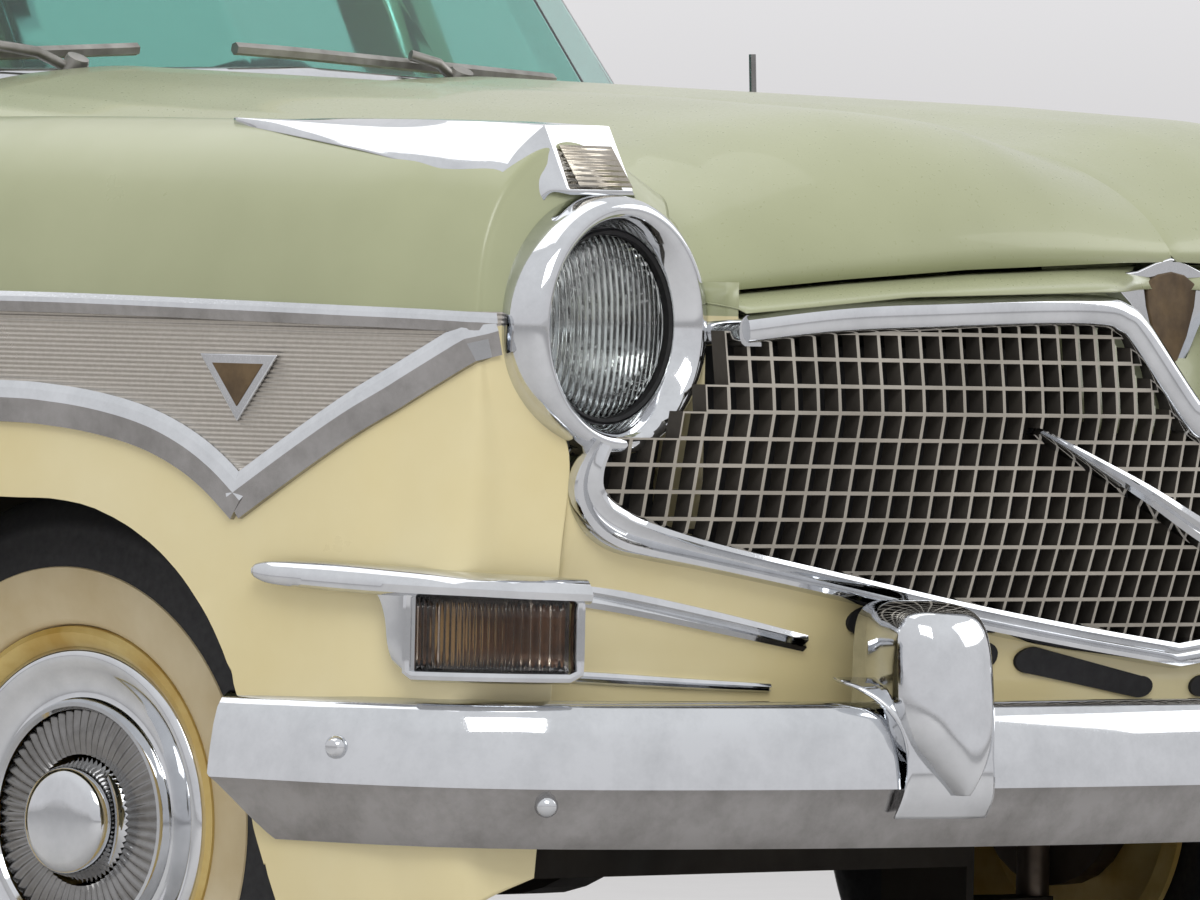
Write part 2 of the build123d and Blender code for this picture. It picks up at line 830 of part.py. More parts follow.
COWL_CROWN = crown_rows(860, COWL_Z[0], COWL_Z[1], 900)
HINGE_POST_X = (780, POST_X)
with BuildPart() as cowl:
    plan_slab(
        (
            (640, COWL_FRONT_Y, 0),
            (640, FRONT_DOOR_Y[0] - SHUT_GAP, 0),
            (845, FRONT_DOOR_Y[0] - SHUT_GAP, 0),
            (845, -610, 0),
            (780, -610, 0),
            (780, -925, 200),
            (0, -1140, 2400),
            (-780, -925, 200),
            (-780, -610, 0),
            (-845, -610, 0),
            (-845, FRONT_DOOR_Y[0] - SHUT_GAP, 0),
            (-640, FRONT_DOOR_Y[0] - SHUT_GAP, 0),
            (-640, COWL_FRONT_Y, 0),
        ),
        (960, 1100),
    )
    front_slab(COWL_CROWN, (-1300, -600), mode=Mode.INTERSECT)
    # slot of the fresh-air vent
    block((-420, 420), (-1248, -1216), (1000, 1100), mode=Mode.SUBTRACT)
    block((-640, 640), (FIREWALL_Y, FIREWALL_Y + SHEET), (FLOOR_Z + 110, 1000))
    for sign in (1, -1):
        inner, outer = sorted((sign * HINGE_POST_X[0], sign * HINGE_POST_X[1]))
        block((inner, outer), (-1004, -905), (FLOOR_Z, 985))
        block(
            tuple(sorted((sign * 760, sign * 900))),
            (-800, -600),
            (1000, 1100),
            mode=Mode.SUBTRACT,
        )
        # door hinges, and the brackets of the bonnet's hinges
        for z in (450, 820):
            block(
                tuple(sorted((sign * POST_X, sign * (DOOR_INNER_X - RUN_GAP)))),
                (-990, -930),
                (z, z + 60),
            )
        block(
            tuple(sorted((sign * (HOOD_EDGE_X - 36), sign * HOOD_EDGE_X))),
            (HOOD_REAR_Y - 45, COWL_FRONT_Y + 4),
            (965, hood_flange_z(HOOD_REAR_Y - 45) - RUN_GAP),
        )
        low, high = sorted((sign * 640, sign * HINGE_POST_X[1]))
        block((low, high), (-1020, -1004), (FLOOR_Z, 990))
        low, high = sorted((sign * 628, sign * 640))
        block((low, high), (FIREWALL_Y, -1004), (FLOOR_Z + 110, 1000))
save(cowl, "cowl")

# Windscreen and rear window: bent glass between two plan outlines
REAR_BASE = ((800, 1290, 0), (800, 1500, 300), (0, 1570, 2400))
REAR_TOP = ((606, 940, 0), (606, 1090, 240), (0, 1130, 2400))


def bent_glass(base, top, thick):
    """Ruled sheet between a lower and an upper plan outline."""
    faces = [
        faceted(Plane.XY.offset(z), bent_ring(rows, thick))
        for rows, z in ((base, GLASS_Z[0]), (top, GLASS_Z[1]))
    ]
    loft(faces, ruled=True)


ROOF_MID_Y = 60
ROOF_LONG_R = 7000
ROOF_HALF_ARC = 12
ROOF_DROP = 92
ROOF_END = (-925, 1115)


def roof_section(drop, half_x, depth=40):
    """Cross-section of the roof, drop mm inside its skin and depth mm deep."""
    fall = 0.8 * ROOF_DROP / (0.38 * half_x)
    reach = half_x + 300 if drop else half_x
    edge_z = ROOF_Z - ROOF_DROP - drop - fall * (reach - half_x)
    return (
        (reach, edge_z - depth, 0),
        (reach, edge_z, 0),
        (half_x * 0.62, ROOF_Z - ROOF_DROP * 0.2 - drop, 500),
        (0, ROOF_Z - drop + 4, 2600),
        (-half_x * 0.62, ROOF_Z - ROOF_DROP * 0.2 - drop, 500),
        (-reach, edge_z, 0),
        (-reach, edge_z - depth, 0),
    )


def roof_turn(rows, mode=Mode.ADD):
    """Carry a cross-section along the roof's long curve, in flats."""
    centre_z = ROOF_Z - ROOF_LONG_R
    faces = []
    for step in range(-4, 5):
        angle = radians(ROOF_HALF_ARC * step / 4)
        plane = Plane(
            origin=(0, ROOF_MID_Y, centre_z),
            x_dir=(1, 0, 0),
            z_dir=(0, -cos(angle), sin(angle)),
        )
        faces.append(outline(plane, [(x, z - centre_z, r) for x, z, r in rows]))
    loft(faces, ruled=True, mode=mode)


with BuildPart() as roof_body:
    roof_turn(roof_section(0, ROOF_HALF_X))
    plan_slab(
        (
            (ROOF_HALF_X, -610, 0),
            (ROOF_HALF_X - 30, -850, 200),
            (0, ROOF_END[0] - 22, 2400),
            (30 - ROOF_HALF_X, -850, 200),
            (-ROOF_HALF_X, -610, 0),
            (-ROOF_HALF_X, 960, 0),
            (30 - ROOF_HALF_X, 1075, 160),
            (0, ROOF_END[1] + 25, 2400),
            (ROOF_HALF_X - 30, 1075, 160),
            (ROOF_HALF_X, 960, 0),
        ),
        (ROOF_Z - 230, ROOF_Z + 70),
        mode=Mode.INTERSECT,
    )


def leaning_post(depth, thick, z_span):
    """Front outline of a strip in the side-window plane, depth mm inside it."""
    low, high = z_span
    return (
        (window_plane_x(low, depth), low, 0),
        (window_plane_x(high, depth), high, 0),
        (window_plane_x(high, depth + thick), high, 0),
        (window_plane_x(low, depth + thick), low, 0),
    )


POST_DEPTH = FRAME_T + 7
POST_T = 34
A_POST = (
    (-699.7, POST_FOOT_Z),
    (-625, POST_FOOT_Z),
    (-570, ROOF_Z - 78),
    (-639.7, ROOF_Z - 78),
)
B_POST = (
    (-30, POST_FOOT_Z),
    (42, POST_FOOT_Z),
    (34, ROOF_Z - 90),
    (-22, ROOF_Z - 90),
)
C_POST = (
    (966, BELT_Z - 28),
    (1340, BELT_Z - 28),
    (1010, ROOF_Z - 90),
    (880, ROOF_Z - 90),
)
RAIL_LINE = (
    (-640, ROOF_Z - 186),
    (0, ROOF_Z - 150),
    (1000, ROOF_Z - 190),
    (1000, ROOF_Z - 70),
    (-630, ROOF_Z - 70),
)
ROOF_POSTS = (             # side outline, depth inside the window plane, thickness
    (A_POST, POST_DEPTH, POST_T),
    (B_POST, POST_DEPTH, POST_T),
    (RAIL_LINE, POST_DEPTH, POST_T - 8),
    (C_POST, 2, POST_DEPTH + POST_T - 2),
)
posts = []
for rows, depth, thick in ROOF_POSTS:
    with BuildPart() as post:
        side_slab([(y, z, 0) for y, z in rows], (300, 960))
        front_slab(
            leaning_post(depth, thick, (BELT_Z - 108, ROOF_Z - 30)),
            (-800, 1400),
            mode=Mode.INTERSECT,
        )
        roof_turn(roof_section(4, ROOF_HALF_X - 16, 600), mode=Mode.INTERSECT)
    posts.append(post.part)
# what the rear posts stand on
with BuildPart() as quarter_top:
    loft_sections(QUARTER_STATIONS, full_section, SILL_Z)
post_seat = quarter_top.part.moved(Location((0, 0, RUN_GAP)))
with BuildPart() as roof:
    add(roof_body.part)
    roof_turn(roof_section(ROOF_T, ROOF_HALF_X - 16), mode=Mode.SUBTRACT)
    for post in posts:
        add(post)
        add(mirrored(post))
    add(post_seat, mode=Mode.SUBTRACT)
    add(mirrored(post_seat), mode=Mode.SUBTRACT)
save(roof, "roof")

# Glass sits on the cowl and reaches up under the roof's edge
with BuildPart() as windscreen:
    bent_glass(GLASS_BASE, GLASS_TOP, GLASS_T)
    front_slab(COWL_CROWN, (-1400, -500), mode=Mode.SUBTRACT)
    for x_span in ((735, 860), (-860, -735)):
        block(x_span, (-1110, -1000), (990, 1029), mode=Mode.SUBTRACT)
    roof_turn(roof_section(ROOF_T + 1, ROOF_HALF_X - 16, 600), mode=Mode.INTERSECT)
save(windscreen, "windscreen")

DECK_CROWN = crown_rows(820, 1004, 1046, 900)
REAR_GLASS_CROWN = crown_rows(820, 1024, 1046, 900)
with BuildPart() as rear_window:
    bent_glass(REAR_BASE, REAR_TOP, GLASS_T)
    front_slab(REAR_GLASS_CROWN, (1000, 1700), mode=Mode.SUBTRACT)
    roof_turn(roof_section(ROOF_T + 1, ROOF_HALF_X - 16, 600), mode=Mode.INTERSECT)
save(rear_window, "rear_window")

# Rear quarters with their wheel housings; the tail closes each with a lamp face
QUARTER_END_Y = QUARTER_STATIONS[-1][0]
TAIL_LAMP_Z = (700, 940)
TAIL_LAMP_X = 868
TAIL_LAMP_R = 56
TAIL_LAMP_FLATS = 20
LAST_STATION = QUARTER_STATIONS[-1]
with BuildPart() as tail_cap:
    loft_sections(
        ((LAST_STATION[0] - 60,) + LAST_STATION[1:], LAST_STATION),
        full_section,
        SILL_Z + 190,
    )
with BuildPart() as quarter:
    loft_sections(QUARTER_STATIONS, skin_ring, SILL_Z)
    add(tail_cap.part)
    # wheel housing
    side_slab(arch_rows(REAR_AXLE_Y, 712, ARCH_R + 18, 0), (608, 950))
    side_slab(arch_rows(REAR_AXLE_Y, 700, ARCH_R + 6, 0), (620, 960), mode=Mode.SUBTRACT)
    side_slab(REAR_ARCH, (700, 1100), mode=Mode.SUBTRACT)
    plan_slab(
        ((0, 0, 0), (1200, 0, 0), (1200, 3000, 0), (0, 3000, 0)),
        (0, SILL_Z),
        mode=Mode.SUBTRACT,
    )
    block(
        (600, 630),
        (REAR_AXLE_Y - 70, REAR_AXLE_Y + 70),
        (200, 420),
        mode=Mode.SUBTRACT,
    )
    # the bumper wraps round below the tail
    block(
        (600, 1000),
        (2390, 2600),
        (200, REAR_BUMPER_Z[1] + 8),
        mode=Mode.SUBTRACT,
    )
    stack(
        ((TAIL_LAMP_R, -45), (TAIL_LAMP_R, 10)),
        (TAIL_LAMP_X - 20, QUARTER_END_Y, 820),
        (0, 1, 0),
        Mode.SUBTRACT,
        TAIL_LAMP_FLATS,
    )
save_both(quarter, "rear_quarters")

def deck_edge_x(y):
    """X where the deck meets the rear quarter's inner edge."""
    for near, far in zip(QUARTER_STATIONS, QUARTER_STATIONS[1:]):
        if y <= far[0]:
            share = (y - near[0]) / (far[0] - near[0])
            return near[4] + share * (far[4] - near[4]) - RUN_GAP


# Deck between the rear window and the boot
with BuildPart() as deck_panel:
    plan_slab(
        (
            (deck_edge_x(BOOT_FRONT_Y - SHUT_GAP), BOOT_FRONT_Y - SHUT_GAP, 0),
            (deck_edge_x(REAR_AXLE_Y), REAR_AXLE_Y, 0),
            (deck_edge_x(REAR_AXLE_Y - 54), REAR_AXLE_Y - 54, 0),
            (600, 1390, 200),
            (0, 1430, 2400),
            (-600, 1390, 200),
            (-deck_edge_x(REAR_AXLE_Y - 54), REAR_AXLE_Y - 54, 0),
            (-deck_edge_x(REAR_AXLE_Y), REAR_AXLE_Y, 0),
            (-deck_edge_x(BOOT_FRONT_Y - SHUT_GAP), BOOT_FRONT_Y - SHUT_GAP, 0),
        ),
        (985, 1100),
    )
    front_slab(DECK_CROWN, (1000, 1700), mode=Mode.INTERSECT)
    for sign in (1, -1):
        bracket_x = BOOT_EDGE_X - BOOT_T - RUN_GAP
        for y_span, z_span in (
            ((BOOT_FRONT_Y - 22, BOOT_FRONT_Y - SHUT_GAP), (950, 1000)),
            ((BOOT_FRONT_Y - 22, BOOT_FRONT_Y + 40), (950, 985)),
        ):
            block(
                tuple(sorted((sign * (bracket_x - 18), sign * bracket_x))),
                y_span,
                z_span,
            )
save(deck_panel, "deck_panel")

# Boot lid: crowned deck that turns down at the tail
BOOT_SIDE = (              # Y, Z, corner radius of its outer line
    (BOOT_FRONT_Y, 1052, 0),
    (2150, 1030, 900),
    (2462, 985, 90),
    (BOOT_REAR_Y, 880, 400),
    (BOOT_REAR_Y + 14, BOOT_LOW_Z, 0),
)


def boot_rows(drop):
    """Side outline of the boot lid, drop mm inside its skin."""
    skin = tuple((y - 0.7 * drop, z - drop, r) for y, z, r in BOOT_SIDE[1:-1])
    front = ((BOOT_FRONT_Y - (1 if drop else 0), BOOT_SIDE[0][1] - drop, 0),)
    foot = ((BOOT_SIDE[-1][0] - drop, BOOT_LOW_Z - (1 if drop else 0), 0),)
    return front + skin + foot + ((front[0][0], foot[0][1], 0),)


BOOT_CROWN = crown_rows(BOOT_EDGE_X, 1006, 1044, 500)
with BuildPart() as boot_hollow:
    side_slab(boot_rows(BOOT_T), (-BOOT_EDGE_X + BOOT_T, BOOT_EDGE_X - BOOT_T))
    front_slab(
        crown_rows(BOOT_EDGE_X, 1006 - BOOT_T, 1044 - BOOT_T, 500),
        (BOOT_FRONT_Y - 10, BOOT_REAR_Y + 100),
        mode=Mode.INTERSECT,
    )
with BuildPart() as boot_lid:
    side_slab(boot_rows(0), (-BOOT_EDGE_X, BOOT_EDGE_X))
    front_slab(
        BOOT_CROWN, (BOOT_FRONT_Y - 10, BOOT_REAR_Y + 100), mode=Mode.INTERSECT
    )
    add(boot_hollow.part, mode=Mode.SUBTRACT)
    # only a short flange is left along its sides
    side_slab(
        (
            (BOOT_FRONT_Y - 1, 500, 0),
            (BOOT_FRONT_Y - 1, 985, 0),
            (2330, 945, 0),
            (2440, 880, 0),
            (2452, 500, 0),
        ),
        WIDE,
        mode=Mode.SUBTRACT,
    )
save(boot_lid, "boot_lid")

# Tail panel under the boot lid, between the quarters
with BuildPart() as tail_panel:
    half_x = BOOT_EDGE_X + SHUT_GAP - RUN_GAP
    block((-half_x, half_x), (2478, 2496), (432, BOOT_LOW_Z - SHUT_GAP))
    block((-half_x, half_x), (2440, 2478), (432, 450))
save(tail_panel, "tail_panel")

# Tail lamps: round lens in a chrome ring on each quarter's end
with BuildPart() as tail_lamps:
    for sign in (1, -1):
        centre = (sign * (TAIL_LAMP_X - 20), QUARTER_END_Y, 820)
        for rows in (
            ((TAIL_LAMP_R - RUN_GAP, -40), (TAIL_LAMP_R - RUN_GAP, 1)),
            ((TAIL_LAMP_R + 10, 0), (TAIL_LAMP_R + 6, 18), (30, 44), (8, 50)),
        ):
            stack(rows, centre, (0, 1, 0), sides=TAIL_LAMP_FLATS)
save(tail_lamps, "tail_lamps")

# Doors: a hollowed panel below the belt, with a leaning window frame on top
DOOR_SECTION = (
    (DOOR_INNER_X, DOOR_LOW_Z, 0),
    (SIDE_X - 22, DOOR_LOW_Z, 0),
    (SIDE_X, DOOR_LOW_Z + 130, 700),
    (SIDE_X, BELT_Z - 50, 100),
    (BELT_X + 2, BELT_Z + 2, 30),
    (DOOR_INNER_X, BELT_Z, 0),
)
EDGE_TAPER = 14           # how far a door's rear edge is cut back inside


FRONT_WINDOW = (
    (
        (-716, BELT_Z - 8),
        (-8, BELT_Z - 8),
        (-8, ROOF_Z - 132),
        (-656, ROOF_Z - 166),
    ),
    (
        (-672, BELT_Z + 12),
        (-44, BELT_Z + 12),
        (-44, ROOF_Z - 168),
        (-622, ROOF_Z - 200),
    ),
)
REAR_WINDOW = (
    (
        (14, BELT_Z - 8),
        (946, BELT_Z - 8),
        (868, ROOF_Z - 174),
        (14, ROOF_Z - 132),
    ),
    (
        (50, BELT_Z + 12),
        (892, BELT_Z + 12),
        (828, ROOF_Z - 208),
        (50, ROOF_Z - 168),
    ),
)


def window_upright(frame, window):
    """Leaning frame of one door's window."""
    with BuildPart() as upright:
        side_slab([(y, z, 0) for y, z in frame], (400, 1000))
        side_slab([(y, z, 25) for y, z in window], (300, 1100), mode=Mode.SUBTRACT)
        front_slab(
            leaning_post(0, FRAME_T, (BELT_Z - 8, ROOF_Z - 30)),
            (-1000, 1200),
            mode=Mode.INTERSECT,
        )
    return upright.part


def window_glass(window):
    """Pane that fills a window, held in its frame."""
    with BuildPart() as pane:
        side_slab([(y, z, 25) for y, z in window], (300, 1100))
        front_slab(
            leaning_post(14, GLASS_T, (BELT_Z - 8, ROOF_Z - 30)),
            (-1000, 1200),
            mode=Mode.INTERSECT,
        )
    return pane


def door_body(span, upright):
    """Door panel below the belt, its rear edge tapered, with its window frame."""
    rear_y = span[1]
    with BuildPart() as door:
        front_slab(DOOR_SECTION, span)
        plan_slab(
            (
                (DOOR_INNER_X - 1, rear_y + 1, 0),
                (DOOR_INNER_X - 1, rear_y - EDGE_TAPER, 0),
                (SIDE_X - 30, rear_y + 1, 0),
            ),
            (200, 1100),
            mode=Mode.SUBTRACT,
        )
        add(upright)
    return door


for label, span, (frame, window) in (
    ("front_door", FRONT_DOOR_Y, FRONT_WINDOW),
    ("rear_door", REAR_DOOR_Y, REAR_WINDOW),
):
    save_pair(door_body(span, window_upright(frame, window)), label)
    save_pair(window_glass(window), label.replace("door", "door_glass"))

# Floor: sloped toe board, flat cabin, kicked up over the rear axle, boot floor
FLOOR_LINE = (            # Y, Z of its top
    (FIREWALL_Y + SHEET, FLOOR_Z + 110),
    (-1060, FLOOR_Z),
    (930, FLOOR_Z),
    (1090, 470),
    (1690, 470),
    (1800, 400),
    (2438, 400),
)
BACKREST_Y = 1085
TUNNEL = (150, 112, 400)  # half width at the floor and at the top, top Z


def tunnel_rows(inset):
    """Cross-section of the tunnel over the propeller shaft."""
    foot, top, top_z = TUNNEL
    return (
        (inset - foot, FLOOR_Z - SHEET - (1 if inset else 0), 0),
        (inset - top, top_z - inset, 40),
        (top - inset, top_z - inset, 40),
        (foot - inset, FLOOR_Z - SHEET - (1 if inset else 0), 0),
    )


with BuildPart() as floor_pan:
    under = [(y, z - SHEET, 0) for y, z in reversed(FLOOR_LINE)]
    side_slab([(y, z, 0) for y, z in FLOOR_LINE] + under, (-POST_X, POST_X))
    for sign in (1, -1):
        # the rear floor is narrower, between the wheel housings
        block(
            tuple(sorted((sign * 606, sign * 900))),
            (960, 1760),
            (250, 600),
            mode=Mode.SUBTRACT,
        )
        block(
            tuple(sorted((sign * 690, sign * 900))),
            (1700, 2500),
            (250, 600),
            mode=Mode.SUBTRACT,
        )
        # outer sill under the doors and the pillar between them
        front_slab(
            (
                (sign * (POST_X - 60), FLOOR_Z - SHEET, 0),
                (sign * (SIDE_X - 24), FLOOR_Z - SHEET, 0),
                (sign * (SIDE_X - 40), SILL_Z, 0),
                (sign * (POST_X - 60), SILL_Z, 0),
            ),
            (FRONT_DOOR_Y[0] - SHUT_GAP, 950),
        )
        block(
            tuple(sorted((sign * (POST_X - 34), sign * POST_X))),
            (-34, 46),
            (FLOOR_Z - 1, 1000),
        )
        for z in (450, 820):
            block(
                tuple(sorted((sign * POST_X, sign * (DOOR_INNER_X - RUN_GAP)))),
                (12, 44),
                (z, z + 60),
            )
    front_slab(tunnel_rows(0), (FIREWALL_Y + SHEET, 925))
    front_slab(tunnel_rows(SHEET), (FIREWALL_Y - 50, 1000), mode=Mode.SUBTRACT)
    block((-606, 606), (BACKREST_Y, BACKREST_Y + SHEET), (465, 975))
    block((-606, 606), (BACKREST_Y, 1428), (960, 975))
save(floor_pan, "floor_pan")

# Instrument panel with the steering column
COLUMN_FOOT = Vector(370, -1201, 645)
COLUMN_HEAD = Vector(370, -742, 930)
WHEEL_RIM_R = 205
COLUMN_R = 24
with BuildPart() as dashboard:
    side_slab(
        (
            (-1150, 960, 0),
            (-1150, 800, 0),
            (-930, 770, 30),
            (-850, 820, 30),
            (-850, 1000, 40),
            (-900, 1048, 60),
            (-1150, 1048, 0),
        ),
        (-768, 768),
    )
    # hollow behind, and clear of the cowl's rim
    plan_slab(
        (
            (900, -700, 0),
            (900, -1300, 0),
            (-900, -1300, 0),
            (-900, -700, 0),
            (-752, -700, 0),
            (-752, -890, 200),
            (0, -1120, 2400),
            (752, -890, 200),
            (752, -700, 0),
        ),
        (960 - RUN_GAP, 1200),
        mode=Mode.SUBTRACT,
    )
    for x_span in ((626, 900), (-900, -626)):
        block(x_span, (-1300, -1000), (700, 1100), mode=Mode.SUBTRACT)
    direction = (COLUMN_HEAD - COLUMN_FOOT).normalized()
    pipe(COLUMN_FOOT, COLUMN_HEAD - direction * 20, COLUMN_R)
save(dashboard, "dashboard")

column = Plane(origin=COLUMN_HEAD, x_dir=(1, 0, 0), z_dir=direction)
GRIP_R = 12
SPOKE_ANGLES = (20, 160, 270)


def wheel_ring(rows, mode=Mode.ADD):
    """Ring of flats about the column from rows of (radius, distance along it)."""
    faces = []
    for radius, distance in rows:
        with BuildSketch(column.offset(distance)) as polygon:
            RegularPolygon(radius, ROUND_FLATS)
        faces.append(polygon.sketch)
    loft(faces, ruled=True, mode=mode)


with BuildPart() as steering_wheel:
    wheel_ring(
        (
            (WHEEL_RIM_R + GRIP_R / 2, -GRIP_R),
            (WHEEL_RIM_R + GRIP_R, 0),
            (WHEEL_RIM_R + GRIP_R / 2, GRIP_R),
        )
    )
    wheel_ring(
        (
            (WHEEL_RIM_R - GRIP_R / 2, -GRIP_R - 0.1),
            (WHEEL_RIM_R - GRIP_R, 0),
            (WHEEL_RIM_R - GRIP_R / 2, GRIP_R + 0.1),
        ),
        Mode.SUBTRACT,
    )
    pipe(COLUMN_HEAD - direction * 19.7, COLUMN_HEAD + direction * 10, 42)
    for angle in SPOKE_ANGLES:
        spoke = column.x_dir * cos(radians(angle)) + column.y_dir * sin(radians(angle))
        bar(COLUMN_HEAD + spoke * 10, COLUMN_HEAD + spoke * (WHEEL_RIM_R - 2), 8, 8)
save(steering_wheel, "steering_wheel")

# Bench seats
SEAT_HALF = {"front_seat": 690, "rear_seat": 604}
SEAT_SIDE = {
    "front_seat": (
        (-600, FLOOR_Z, 0),
        (-600, 560, 60),
        (-100, 540, 20),
        (-40, 960, 60),
        (70, 950, 60),
        (10, FLOOR_Z, 0),
    ),
    "rear_seat": (
        (420, FLOOR_Z, 0),
        (420, 560, 60),
        (890, 545, 20),
        (970, 940, 60),
        (BACKREST_Y - RUN_GAP, 940, 40),
        (BACKREST_Y - RUN_GAP, 480, 0),
        (925, FLOOR_Z, 0),
    ),
}
for label, rows in SEAT_SIDE.items():
    lift = RUN_GAP
    with BuildPart() as seat:
        side_slab([(y, z + lift if z == FLOOR_Z else z, r) for y, z, r in rows],
                  (-SEAT_HALF[label], SEAT_HALF[label]))
        # room for the tunnel
        block((-156, 156), (-1100, 1060), (0, 406), mode=Mode.SUBTRACT)
    save(seat, label)

# Ladder frame with its cross members
RAIL_SIDE = (
    (BRACKET_Y, 340, 0),
    (BRACKET_Y, 420, 0),
    (-1500, 420, 200),
    (-1260, RAIL_TOP_Z, 200),
    (970, RAIL_TOP_Z, 30),
    (1130, 455, 100),
    (1650, 455, 100),
    (1760, 385, 100),
    (-BRACKET_Y, 385, 0),
    (-BRACKET_Y, 305, 0),
    (1740, 305, 100),
    (1640, 375, 100),
    (1150, 375, 100),
    (990, 205, 200),
    (-1240, 205, 200),
    (-1490, 340, 200),
)
CROSS_MEMBERS = (          # Y span, Z span
    ((-2330, -2270), (350, 410)),
    ((-1180, -1110), (208, 240)),
    ((-60, 20), (215, 245)),
    ((840, 900), (215, 262)),
    ((1830, 1890), (310, 375)),
)
with BuildPart() as chassis_frame:
    for sign in (1, -1):
        side_slab(RAIL_SIDE, tuple(sorted((sign * RAIL_X[0], sign * RAIL_X[1]))))
    for y_span, z_span in CROSS_MEMBERS:
        block((-RAIL_X[0] - 10, RAIL_X[0] + 10), y_span, z_span)
save(chassis_frame, "chassis_frame")

# Radiator behind the grille, and the engine as one closed mass
with BuildPart() as radiator:
    block((-RAIL_X[1], RAIL_X[1]), (-2300, -2240), (420, 450))
    block((-380, 380), (-2290, -2250), (450, 840))
save(radiator, "radiator")

ENGINE_Y = (-2080, -1420)
with BuildPart() as engine:
    block((-285, 285), ENGINE_Y, (330, 880))
    # gearbox, resting on its cross member
    block((-80, 80), (ENGINE_Y[1] - 5, -1112), (CROSS_MEMBERS[1][1][1], 372))
save(engine, "engine")

# Front suspension: cross member and the arms that hold the kingpins
ARM_Z = (225, 455)        # the kingpin's ends
with BuildPart() as front_suspension:
    block(
        (-RAIL_X[1], RAIL_X[1]),
        (FRONT_AXLE_Y - 60, FRONT_AXLE_Y + 60),
        (262, 330),
    )
    for sign in (1, -1):
        rail = tuple(sorted((sign * RAIL_X[0], sign * RAIL_X[1])))
        block(rail, (FRONT_AXLE_Y - 60, FRONT_AXLE_Y + 60), (330, 340))
        # tower beside the rail, lower arm and upper arm
        block(
            tuple(sorted((sign * RAIL_X[1], sign * 482))),
            (FRONT_AXLE_Y - 60, FRONT_AXLE_Y + 60),
            (204, 478),
        )
        for low, high in ((204, ARM_Z[0] - RUN_GAP), (ARM_Z[1] + RUN_GAP, 478)):
            plan_slab(
                (
                    (sign * 478, FRONT_AXLE_Y - 58, 0),
                    (sign * 478, FRONT_AXLE_Y + 58, 0),
                    (sign * (KINGPIN_X + 14), FRONT_AXLE_Y + 26, 20),
                    (sign * (KINGPIN_X + 14), FRONT_AXLE_Y - 26, 20),
                ),
                (low, high),
            )
save(front_suspension, "front_suspension")

SPINDLE_R = 22
SPINDLE_END = 55          # how far it reaches past the wheel's centre plane
HUB_BORE_R = SPINDLE_R + 0.05
DRUM_R = 95
with BuildPart() as knuckle:
    pipe(
        (KINGPIN_X, FRONT_AXLE_Y, ARM_Z[0]),
        (KINGPIN_X, FRONT_AXLE_Y, ARM_Z[1]),
        18,
    )
    pipe(
        (KINGPIN_X, FRONT_AXLE_Y, TYRE_R),
        (WHEEL_X + SPINDLE_END, FRONT_AXLE_Y, TYRE_R),
        SPINDLE_R,
    )
    bar((672, FRONT_AXLE_Y, TYRE_R), (704, FRONT_AXLE_Y, TYRE_R), DRUM_R, 24)
save_pair(knuckle, "knuckle")

# Rear axle with its differential, brake plates, springs and propeller shaft
with BuildPart() as rear_axle:
    bar((-640, REAR_AXLE_Y, TYRE_R), (640, REAR_AXLE_Y, TYRE_R), 38)
    bar((-110, REAR_AXLE_Y, TYRE_R), (110, REAR_AXLE_Y, TYRE_R), 118)
    bar((0, REAR_AXLE_Y - 60, TYRE_R), (0, REAR_AXLE_Y - 240, TYRE_R - 12), 45)
    for sign in (1, -1):
        pipe(
            (sign * 600, REAR_AXLE_Y, TYRE_R),
            (sign * (WHEEL_X + SPINDLE_END), REAR_AXLE_Y, TYRE_R),
            SPINDLE_R,
        )
        bar(
            (sign * 655, REAR_AXLE_Y, TYRE_R),
            (sign * 704, REAR_AXLE_Y, TYRE_R),
            DRUM_R,
            24,
        )
        side_slab(
            (
                (760, FLOOR_Z - SHEET, 0),
                (760, 245, 0),
                (REAR_AXLE_Y, 262, 3000),
                (1940, 262, 0),
                (1940, 385, 0),
                (1905, 385, 0),
                (1905, 296, 0),
                (REAR_AXLE_Y, 298, 3000),
                (796, 272, 0),
                (796, FLOOR_Z - SHEET, 0),
            ),
            tuple(sorted((sign * 515, sign * 575))),
        )
    bar((0, REAR_AXLE_Y - 240, TYRE_R - 12), (0, -1100, 262), 36)
save(rear_axle, "rear_axle")

EXHAUST_X = -230
EXHAUST_Z = 180
with BuildPart() as exhaust:
    bar((EXHAUST_X, -1440, EXHAUST_Z), (EXHAUST_X, 2540, EXHAUST_Z), 24)
    bar((EXHAUST_X, -1450, EXHAUST_Z), (EXHAUST_X, -1450, 330 - RUN_GAP), 24)
    bar((EXHAUST_X, 150, EXHAUST_Z + 10), (EXHAUST_X, 780, EXHAUST_Z + 10), 62)
    for y, top_z in ((320, FLOOR_Z - SHEET), (2220, 385)):
        block((EXHAUST_X - 10, EXHAUST_X + 10), (y - 20, y + 20), (EXHAUST_Z, top_z))
save(exhaust, "exhaust")

with BuildPart() as fuel_tank:
    block((-200, 380), (1900, 2380), (250, 385))
save(fuel_tank, "fuel_tank")

